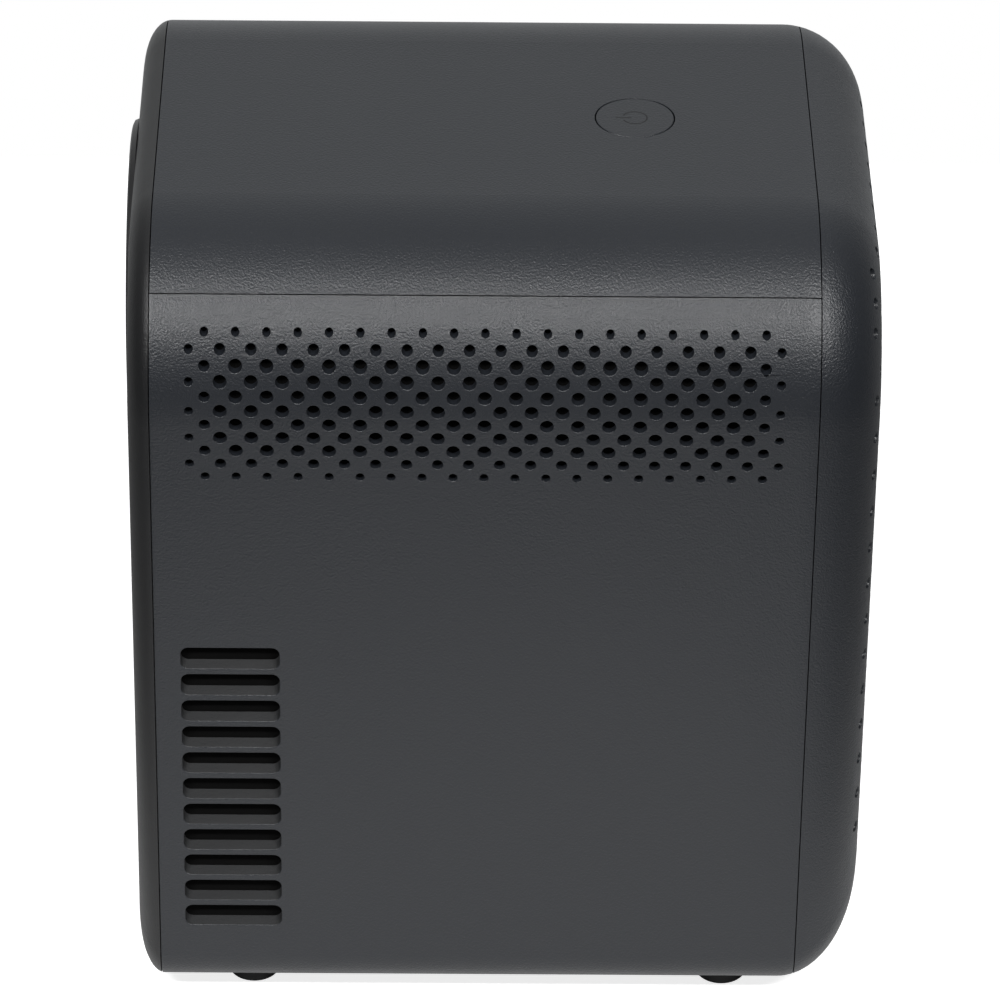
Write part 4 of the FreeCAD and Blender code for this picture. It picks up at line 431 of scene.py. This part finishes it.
def printedPowerKey(look, plastic):
    # the power symbol: a ring open toward the front, and a bar through the opening
    paint = materialPaint("powerKeyPrint")
    x = paint.axis(paint.place(), "X")
    y = paint.axis(paint.place(), "Y") - look["centre"]
    reach = paint.maths("SQRT", x * x + y * y)
    off = paint.maths("ABSOLUTE", x)
    ring = paint.maths("ABSOLUTE", reach - look["radius"]) < look["stroke"] / 2
    opening = (y < 0.0) * (off < look["gap"])
    bar = (off < look["stroke"] / 2) * (y < -look["barFrom"]) * (y > -look["barTo"])
    mark = paint.maths("MAXIMUM", ring * (1.0 - opening), bar)
    cloud, grain, ground = plasticGround(paint, plastic)
    paint.surface({"Base Color": paint.shades(mark, ground, tint(look["ink"])),
                   "Roughness": mark * look["inkRough"] + plastic["rough"],
                   "Specular IOR Level": plastic["shine"],
                   "Normal": paint.bump(grain, plastic["depth"])})
    return paint.owner


finishes = {slot: mouldedPlastic(look) for slot, look in plasticLooks.items()}
finishes.update({slot: workedMetal(look) for slot, look in metalLooks.items()})
finishes.update({slot: clearGlass(look) for slot, look in glassLooks.items()})
finishes["mirror"] = frontMirror(mirrorLook)
finishes["circuit_board"] = solderMask(boardLook)
finishes["lamp_board"] = whiteBoard(lampBoardLook)
powerKeyFinish = printedPowerKey(powerLook, plasticLooks["slate_plastic"])

for node in frame["nodes"].values():
    for holder in node.material_slots:
        holder.material = finishes[holder.material.name.split(".")[0]]
print("finishes ready,", len(finishes))

# softened copies: mouldings get the small radius that a mould leaves on their outer edges
softLooks = {
    "lower_shell": {"piece": "sideShell", "slot": "slate_plastic", "radius": 0.00022,
                    "low": (-0.1, -0.088, 0.006), "high": (0.1, 0.079, 0.2075),
                    "cuts": [0.016 * number - 0.00255 for number in range(-5, 6)]},
    "top_cover": {"piece": "topCover", "slot": "slate_plastic", "radius": 0.00015,
                  "low": (-0.05, -0.088, 0.2), "high": (0.05, 0.079, 0.3)},
    "rear_cover": {"piece": "rearCover", "slot": "slate_plastic", "radius": 0.00017,
                   "low": (-0.1, 0.084, 0.0), "high": (0.1, 0.2, 0.3)},
    "front_bezel": {"piece": "frontBezel", "slot": "black_plastic", "radius": 0.00020,
                    "low": (-0.1, -0.2, 0.0), "high": (0.1, -0.092, 0.3)},
    "power_button": {"piece": "powerKey", "slot": "slate_plastic", "radius": 0.00010,
                     "clamped": True},
    "lens_ring": {"piece": "lensSurround", "slot": "ring_plastic", "radius": 0.00015,
                  "clamped": True},
    "tray_front": {"piece": "trayPanel", "slot": "black_plastic", "radius": 0.00025},
    "port_panel": {"piece": "socketPanel", "slot": "black_plastic", "radius": 0.00012},
    "fan_frame_lower": {"piece": "lowerFanFrame", "slot": "fan_plastic", "radius": 0.00030},
    "fan_frame_upper": {"piece": "upperFanFrame", "slot": "fan_plastic", "radius": 0.00030},
    "disc_tray": {"piece": "discTray", "slot": "tray_plastic", "radius": 0.00025},
}
everywhere = {"low": (-1.0, -1.0, -1.0), "high": (1.0, 1.0, 1.0)}
casingCore = {"low": (-0.040, -0.070, 0.050), "high": (0.040, 0.050, 0.180)}
softening = {"sharp": radians(38), "flat": radians(0.3), "weld": 0.000002, "outward": 0.6,
             "steps": 2, "profile": 0.5}
# a corner takes the solid's normal when it lies near one of its corners and agrees with the face
normalRules = {"digits": 7, "near": 0.0005, "sliver": 0.004, "long": 0.006,
               "longAgreement": 0.99, "shortAgreement": 0.7}


def awayFromCore(place):
    limits = zip(place, casingCore["low"], casingCore["high"])
    core = Vector([min(max(value, low), high) for value, low, high in limits])
    return (place - core).normalized()


def mergedCopy(nodeName, pieceName, cuts):
    bpy.ops.object.select_all(action="DESELECT")
    source = frame["nodes"][nodeName]
    piece = source.copy()
    piece.data = source.data.copy()
    piece.name = pieceName
    bpy.context.scene.collection.objects.link(piece)
    bpy.context.view_layer.objects.active = piece
    piece.select_set(True)
    bpy.ops.mesh.customdata_custom_splitnormals_clear()
    bpy.ops.object.mode_set(mode="EDIT")
    bpy.ops.mesh.select_mode(type="VERT")
    bpy.ops.mesh.select_all(action="SELECT")
    bpy.ops.mesh.remove_doubles(threshold=softening["weld"])
    bpy.ops.mesh.dissolve_limited(angle_limit=softening["flat"])
    for place in cuts:
        bpy.ops.mesh.select_all(action="SELECT")
        bpy.ops.mesh.bisect(plane_co=(0.0, place, 0.0), plane_no=(0.0, 1.0, 0.0))
    return piece


def selectOuterEdges(piece, low, high):
    bpy.ops.mesh.select_mode(type="EDGE")
    bpy.ops.mesh.select_all(action="DESELECT")
    outward = softening["outward"]
    mesh = bmesh.from_edit_mesh(piece.data)
    for edge in mesh.edges:
        if len(edge.link_faces) == 2 and edge.calc_face_angle() > softening["sharp"]:
            middle = (edge.verts[0].co + edge.verts[1].co) / 2
            away = awayFromCore(middle)
            within = all(least < value < most for least, value, most in zip(low, middle, high))
            if within and max(face.normal.dot(away) for face in edge.link_faces) > outward:
                edge.select_set(True)
    bmesh.update_edit_mesh(piece.data)


def solidCorners(source):
    # the solid's corner normals, listed at each of its places
    listed = {}
    mesh = source.data
    for polygon in mesh.polygons:
        for corner in polygon.loop_indices:
            place = mesh.vertices[mesh.loops[corner].vertex_index].co
            key = tuple(round(value, normalRules["digits"]) for value in place)
            listed.setdefault(key, []).append((polygon.normal, mesh.corner_normals[corner].vector))
    places = KDTree(len(listed))
    for number, key in enumerate(listed):
        places.insert(key, number)
    places.balance()
    return places, list(listed.values())


def closest(choices, normal):
    return max(choices, key=lambda choice: choice[0].dot(normal))[1]


def facing(polygon, mesh):
    # a sliver's own normal can't be trusted, so it is taken to face outward
    first = mesh.vertices[polygon.vertices[0]].co
    span = max((mesh.vertices[number].co - first).length for number in polygon.vertices)
    least = normalRules["longAgreement" if span > normalRules["long"] else "shortAgreement"]
    broad = polygon.area > normalRules["sliver"] * span * span
    return (polygon.normal if broad else awayFromCore(polygon.center)), least


def takeNormals(piece, source):
    # plain faces keep the solid's normals, and the rounded edges blend from one to the next
    places, listed = solidCorners(source)
    mesh = piece.data
    normals = [None] * len(mesh.loops)
    plain = [[] for vertex in mesh.vertices]
    rounded = [Vector((0.0, 0.0, 0.0)) for vertex in mesh.vertices]
    nearest = {}
    own = [tuple(normal.vector) for normal in mesh.corner_normals]
    for polygon in mesh.polygons:
        if polygon.select:
            for number in polygon.vertices:
                rounded[number] += polygon.normal
            continue
        outward, least = facing(polygon, mesh)
        for corner in polygon.loop_indices:
            number = mesh.loops[corner].vertex_index
            if number not in nearest:
                nearest[number] = places.find(mesh.vertices[number].co)[1:]
            place, distance = nearest[number]
            near = distance < normalRules["near"]
            normals[corner] = closest(listed[place], outward) if near else Vector(own[corner])
            if normals[corner].dot(outward) < least:
                normals[corner] = polygon.normal
            plain[number].append((normals[corner], normals[corner]))
    for polygon in mesh.polygons:
        if polygon.select:
            for corner in polygon.loop_indices:
                number = mesh.loops[corner].vertex_index
                normals[corner] = (closest(plain[number], polygon.normal) if plain[number]
                                   else rounded[number].normalized())
    bpy.ops.object.shade_smooth(keep_sharp_edges=False)
    mesh.normals_split_custom_set([tuple(normal) for normal in normals])


def keepInside(piece, source):
    # no corner of the softened copy may leave the solid's own box
    corners = [Vector(corner) for corner in source.bound_box]
    low = [min(corner[axis] for corner in corners) for axis in range(3)]
    high = [max(corner[axis] for corner in corners) for axis in range(3)]
    for vertex in piece.data.vertices:
        limits = zip(vertex.co, low, high)
        vertex.co = [min(max(value, least), most) for value, least, most in limits]


def softenedCopy(nodeName, look):
    piece = mergedCopy(nodeName, look["piece"], look.get("cuts", ()))
    window = {**everywhere, **look}
    selectOuterEdges(piece, window["low"], window["high"])
    bpy.ops.mesh.bevel(offset=look["radius"], segments=softening["steps"],
                       profile=softening["profile"], clamp_overlap=look.get("clamped", False))
    bpy.ops.object.mode_set(mode="OBJECT")
    keepInside(piece, frame["nodes"][nodeName])
    bpy.ops.object.shade_smooth_by_angle(angle=softening["sharp"])
    takeNormals(piece, frame["nodes"][nodeName])
    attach(piece, bodyOf[nodeName])
    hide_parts(nodeName)
    return piece


bodies = frame["record"]["behaviour"]["bodies"]
bodyOf = {node: body for body, nodes in bodies.items() for node in nodes}
softened = {nodeName: softenedCopy(nodeName, look) for nodeName, look in softLooks.items()}
softened["power_button"].material_slots[0].material = powerKeyFinish
print("edges softened,", len(softened), "mouldings")
